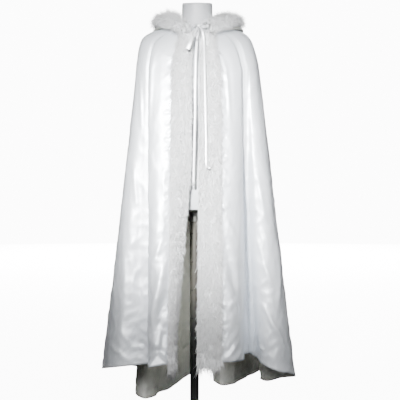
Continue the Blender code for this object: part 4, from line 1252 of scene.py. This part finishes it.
points = [KNOT + np.array(offset) for offset in TAIL_RIGHT_START]
for x, z in TAIL_RIGHT:
    points.append(np.array((x, fur_front(x, z, "right edge", "right fur seam") - TAIL_LIFT, z)))
points += [points[-1] + (0.004, -0.007, -0.007), points[-1] + (0.010, -0.008, -0.002)]
ribbon("tail_right", points, FACING)
for name, angle, side in TIES:
    angle, level = np.array(float(angle)), np.array(TIE_LEVEL)
    sewn = ring_points(angle, level) + normal_at(ring_points, angle, level) * TIE_LIFT
    reach = KNOT + (side * 0.0035, 0.0060, 0.001)
    middle = (sewn + reach) / 2 + (0, 0, 0.004)
    ribbon(name, [reach, middle, sewn], UPRIGHT)

# %% [markdown]
# The knot is the ribbon wrapped once round itself, pulled tight. It is a rounded block with
# shallow pleats across its front.

# %% Knot
KNOT_SIZE = (0.018, 0.014, 0.013)
KNOT_FILL, KNOT_SQUARE, PLEAT_DEPTH, PLEATS = 0.40, 0.8, 0.05, 9


def knot(turns=28, rows=20):
    """A squared ball with pleats that run round it."""
    tilt = np.linspace(-np.pi / 2, np.pi / 2, rows)[1:-1]
    turn = 2 * np.pi * np.arange(turns) / turns
    x, radius, y, z = (signed_power(wave, KNOT_SQUARE) for wave in (
        np.sin(tilt)[:, None], np.cos(tilt)[:, None], np.sin(turn), np.cos(turn)))
    radius = radius * (1 - PLEAT_DEPTH * np.cos(tilt * PLEATS)[:, None])
    shape = np.stack([x + 0 * turn, radius * y, radius * z], -1) * np.array(KNOT_SIZE) * KNOT_FILL
    return loft("bow_knot", KNOT + shape, ribbon_satin)


bow_knot = knot()
stand_in(bow_knot, "ribbon_knot")
print("knot", facts(bow_knot))

# %% [markdown]
# The form is a hollow moulding in white gloss plastic, smooth and plain, with a flat cap on the
# neck. A coarse cage of rings is smoothed by Subdivision Surface, and the rings stand close
# together at the neck's rim to keep its edge crisp.

# %% Dress form finish
gloss = Finish("white gloss plastic", Roughness=0.2, Coat_Weight=0.25, Coat_Roughness=0.12,
               Specular_IOR_Level=0.4)
mottle = gloss.cloud(gloss.place(), 9.0, 2.0)
gloss.feed("Base Color", gloss.blend(mottle, (0.64, 0.66, 0.69), (0.69, 0.71, 0.74)))
gloss.feed("Roughness", 0.24 + mottle * 0.10)
gloss.relief(gloss.cloud(gloss.place(), 130.0, 2.0), 0.00012)
print("gloss", gloss.material.name)

# %% Dress form
REST_GAP, NECKLINE_EASE = 0.0016, 0.013
FORM_SIDES, FORM_POWER, YOKE_LEVELS = 44, 0.92, (0.35, 1.0, 1.6, 2.2)
CAP_TILT, CAP_PIVOT = math.radians(11), 1.640
NECK_RINGS = (
    # height, half width, front, back
    (1.6480, 0.0300, 0.0300, 0.0300), (1.6480, 0.0560, 0.0560, 0.0560),
    (1.6476, 0.0588, 0.0588, 0.0588), (1.6455, 0.0603, 0.0603, 0.0603),
    (1.6400, 0.0610, 0.0610, 0.0610), (1.6200, 0.0612, 0.0610, 0.0612),
    (1.5800, 0.0620, 0.0615, 0.0620),
)
BODY_RINGS = (
    (1.4980, 0.186, 0.098, 0.108), (1.4600, 0.196, 0.102, 0.112), (1.4000, 0.194, 0.110, 0.114),
    (1.3000, 0.178, 0.124, 0.110), (1.1800, 0.150, 0.106, 0.098), (1.0700, 0.127, 0.090, 0.086),
    (0.9600, 0.154, 0.102, 0.106), (0.8700, 0.170, 0.108, 0.118), (0.8300, 0.169, 0.107, 0.117),
    (0.8225, 0.167, 0.105, 0.115), (0.8202, 0.162, 0.100, 0.110), (0.8200, 0.120, 0.070, 0.080),
)
form_turn = 360 * np.arange(FORM_SIDES) / FORM_SIDES


def form_ring(z, width, front, back):
    """One ring of the form's cage. The neck's cap is tilted towards the front."""
    across, ahead = np.sin(np.radians(form_turn)), np.cos(np.radians(form_turn))
    x = AXIS_X - width * signed_power(across, FORM_POWER)
    y = -np.where(ahead > 0, front, back) * signed_power(ahead, FORM_POWER)
    lift = y * math.tan(CAP_TILT) if z > CAP_PIVOT else 0 * y
    return np.stack([x, y, z + lift], -1)


def neck_foot():
    """The ring where the neck leaves the cape's neckline."""
    ring = ring_points(form_turn, np.zeros(FORM_SIDES))
    inward = unit((AXIS_X, 0, 0) - ring * (1, 1, 0))
    return ring + inward * NECKLINE_EASE - (0, 0, WALL)


def under_yoke(level):
    """A ring that follows the inside of the cape over the shoulders."""
    levels = np.full(FORM_SIDES, level)
    normal = normal_at(ring_points, form_turn, levels)
    return ring_points(form_turn, levels) - normal * (WALL + REST_GAP)


rings = [form_ring(*row) for row in NECK_RINGS] + [neck_foot()]
rings += [under_yoke(level) for level in YOKE_LEVELS]
rings += [form_ring(*row) for row in BODY_RINGS]
dress_form = loft("dress_form_shell", np.array(rings)[:, ::-1], gloss.material)
smooth = dress_form.modifiers.new("smooth", "SUBSURF")
smooth.levels = smooth.render_levels = 2
stand_in(dress_form, "dress_form")
print("dress form", facts(dress_form))

# %% [markdown]
# The pole is brushed steel, with the brush marks running along it. Its dark brownish tone is
# painted shade and painted reflection, as for a pole in the shadow of the cape, and it turns black
# below about half a metre. The base is steel too. Colours change with the height, which the
# material reads from its Object coordinates. The inside of a hole is painted black as shade, and
# is known by its smaller distance from the axis.

# %% Steel finishes
BLACK_TOP, BLACK_FADE, BLACK_WANDER, HOLE_SHADE, HOLE_FADE = 0.50, 0.16, 0.22, 0.0172, 0.0004


def steel_finish(name, pale, deep, stretch, rough):
    """Brushed steel, its marks and the colour that they give it."""
    steel = Finish(name, Metallic=1.0, Anisotropic=0.4)
    marks = steel.cloud(steel.place(stretch), 1.0, 4.0, 0.6)
    steel.feed("Roughness", rough + marks * 0.18)
    steel.relief(marks, 0.00006)
    return steel, steel.blend(marks, deep, pale)


def black_low_and_holes(steel, shade):
    """The pole's colour: black below a wandering line, and black inside its holes as painted shade.
    """
    x, y, z = (steel.add("ShaderNodeSeparateXYZ", {0: steel.place()}, output=k) for k in range(3))
    # Black below a wandering line at about half a metre.
    line_wander = steel.cloud(steel.place((60, 60, 14)), 1.0, 3.0)
    below_line = steel.remap(z + (line_wander - 0.5) * BLACK_WANDER, BLACK_TOP, BLACK_TOP - BLACK_FADE)
    # Painted shade: black inside the holes.
    inside = steel.remap((x * x + y * y) ** 0.5, HOLE_SHADE + HOLE_FADE, HOLE_SHADE)
    shade = steel.blend(below_line, shade, (0.035, 0.037, 0.037))
    return steel.blend(inside, shade, (0.006, 0.006, 0.006))


# The pole's dark brownish tone is painted shade and painted reflection from inside the cape.
pole_steel, shade = steel_finish(
    "pole steel", (0.135, 0.130, 0.112), (0.080, 0.077, 0.066), (700, 700, 9), 0.42)
pole_steel.shader.inputs["Metallic"].default_value = 0.55
pole_steel.feed("Base Color", black_low_and_holes(pole_steel, shade))
socket_steel, shade = steel_finish(
    "socket steel", (0.30, 0.30, 0.29), (0.22, 0.22, 0.21), (90, 90, 90), 0.30)
socket_steel.feed("Base Color", shade)
base_steel, shade = steel_finish(
    "base steel", (0.55, 0.55, 0.54), (0.40, 0.40, 0.39), (90, 90, 90), 0.30)
base_steel.feed("Base Color", shade)
print("steels", pole_steel.material.name, base_steel.material.name)

# %% Pole, socket and base
POLE_RADIUS, POLE_FIT, POLE_FOOT = 0.018, 0.0004, 0.004
FORM_FOOT, GAP = 0.820, 0.0004
SOCKET_RADIUS, SOCKET_LENGTH, FLANGE_RADIUS, FLANGE_THICK = 0.025, 0.046, 0.048, 0.005
BASE_RADIUS, BASE_THICK, HUB_RADIUS, HUB_TOP = 0.165, 0.009, 0.028, 0.046
CHAMFER, FILLET = 0.001, 0.002
HOLE_RADIUS, HOLE_DEPTH, HOLE_PITCH, HOLE_TOP, HOLE_COUNT = 0.0035, 0.004, 0.113, 0.726, 6
HOLE_TURN, HOLE_SIDES = math.radians(-33), 16
TURN_SIDES, SHARP_EDGE = 72, 32


def turned(name, profile, finish):
    """A round piece from its profile of radius and height, read from the bottom up."""
    profile = np.array(profile)
    turn = 2 * np.pi * np.arange(TURN_SIDES) / TURN_SIDES
    x, y = profile[:, :1] * np.cos(turn), profile[:, :1] * np.sin(turn)
    rings = np.stack([x, y, profile[:, 1:] + 0 * turn], -1)
    piece = loft(name, rings, finish)
    piece.data.set_sharp_from_angle(angle=math.radians(SHARP_EDGE))
    return piece


def bored(piece, holes):
    """Cuts the row of adjusting holes into the pole."""
    for index in range(holes):
        bpy.ops.mesh.primitive_cylinder_add(
            vertices=HOLE_SIDES, radius=HOLE_RADIUS, depth=2 * HOLE_DEPTH,
            location=(POLE_RADIUS * math.sin(HOLE_TURN), -POLE_RADIUS * math.cos(HOLE_TURN),
                      HOLE_TOP - index * HOLE_PITCH), rotation=(math.pi / 2, 0, HOLE_TURN))
        drill = bpy.context.object
        cut = piece.modifiers.new("hole", "BOOLEAN")
        cut.operation, cut.solver, cut.object = "DIFFERENCE", "EXACT", drill
        applied(piece, cut)
        bpy.data.objects.remove(drill)
    piece.data.set_sharp_from_angle(angle=math.radians(SHARP_EDGE))
    return piece


bore = POLE_RADIUS + POLE_FIT
flange_foot, socket_foot = FORM_FOOT - GAP - FLANGE_THICK, FORM_FOOT - SOCKET_LENGTH
pole_top = flange_foot - FILLET
pole = bored(turned("steel_pole", ((POLE_RADIUS, POLE_FOOT), (POLE_RADIUS, pole_top)),
                    pole_steel.material), HOLE_COUNT)
socket = turned("steel_socket", (
    (bore, pole_top + POLE_FIT), (bore, socket_foot), (SOCKET_RADIUS - CHAMFER, socket_foot),
    (SOCKET_RADIUS, socket_foot + CHAMFER), (SOCKET_RADIUS, flange_foot - FILLET),
    (SOCKET_RADIUS + FILLET, flange_foot), (FLANGE_RADIUS - CHAMFER, flange_foot),
    (FLANGE_RADIUS, flange_foot + CHAMFER), (FLANGE_RADIUS, FORM_FOOT - GAP)),
    socket_steel.material)
base = turned("steel_base", (
    (bore, POLE_FOOT - POLE_FIT), (bore, HUB_TOP - CHAMFER), (bore + CHAMFER, HUB_TOP),
    (HUB_RADIUS - 0.003, HUB_TOP), (HUB_RADIUS - 0.0009, HUB_TOP - 0.0009),
    (HUB_RADIUS, HUB_TOP - 0.003), (HUB_RADIUS + 0.002, BASE_THICK + 0.003),
    (HUB_RADIUS + 0.004, BASE_THICK + 0.001), (HUB_RADIUS + 0.008, BASE_THICK),
    (BASE_RADIUS - 0.004, BASE_THICK), (BASE_RADIUS - 0.0012, BASE_THICK - 0.0012),
    (BASE_RADIUS, BASE_THICK - 0.003), (BASE_RADIUS, 0.002), (BASE_RADIUS - 0.002, 0.0)),
    base_steel.material)
for piece, node, slot in ((pole, "pole", "pole_steel"), (socket, "pole_socket", "pole_steel"),
                          (base, "base_plate", "base_steel")):
    stand_in(piece, node)
    print(piece.name, facts(piece))

# %% [markdown]
# Every piece of cloth was flat before it was sewn and hung. Its cut is stated here: how wide the
# hem or the rim is when it is laid out, how far the cloth falls, and its area. The measures are
# taken along the finished grid, so the folds count in full.

# %% Cuts of cloth
def cut_of(grid):
    """The flat width and length of a grid of cloth, to the millimetre."""
    return tuple(round(float(run_length(grid, axis).max()), 3) for axis in (1, 0))


CLOTH = {
    # what it rests on, and what is sewn on it
    "front_left": ("draped", ["dress_form"], [left_fur]),
    "front_right": ("draped", ["dress_form"], [right_fur]),
    "back_left": ("draped", ["dress_form"], []),
    "back_right": ("draped", ["dress_form"], []),
    "hood_left": ("folded", ["back_left", "front_left"], [roll_fur]),
    "hood_right": ("folded", ["back_right", "front_right"], [roll_fur]),
}
for node, (held, under, extras) in CLOTH.items():
    cut, area = cut_of(grids[node]), round(facts(cloth[node])[1], 3)
    print(node, "cut", cut, "metres,", area, "square metres")
for part, (piece, length) in bow.items():
    held = "folded" if part.startswith("loop") else "hung"
    under = ["ribbon_knot", "fur_front_right" if part.endswith("right") else "fur_front_left"]
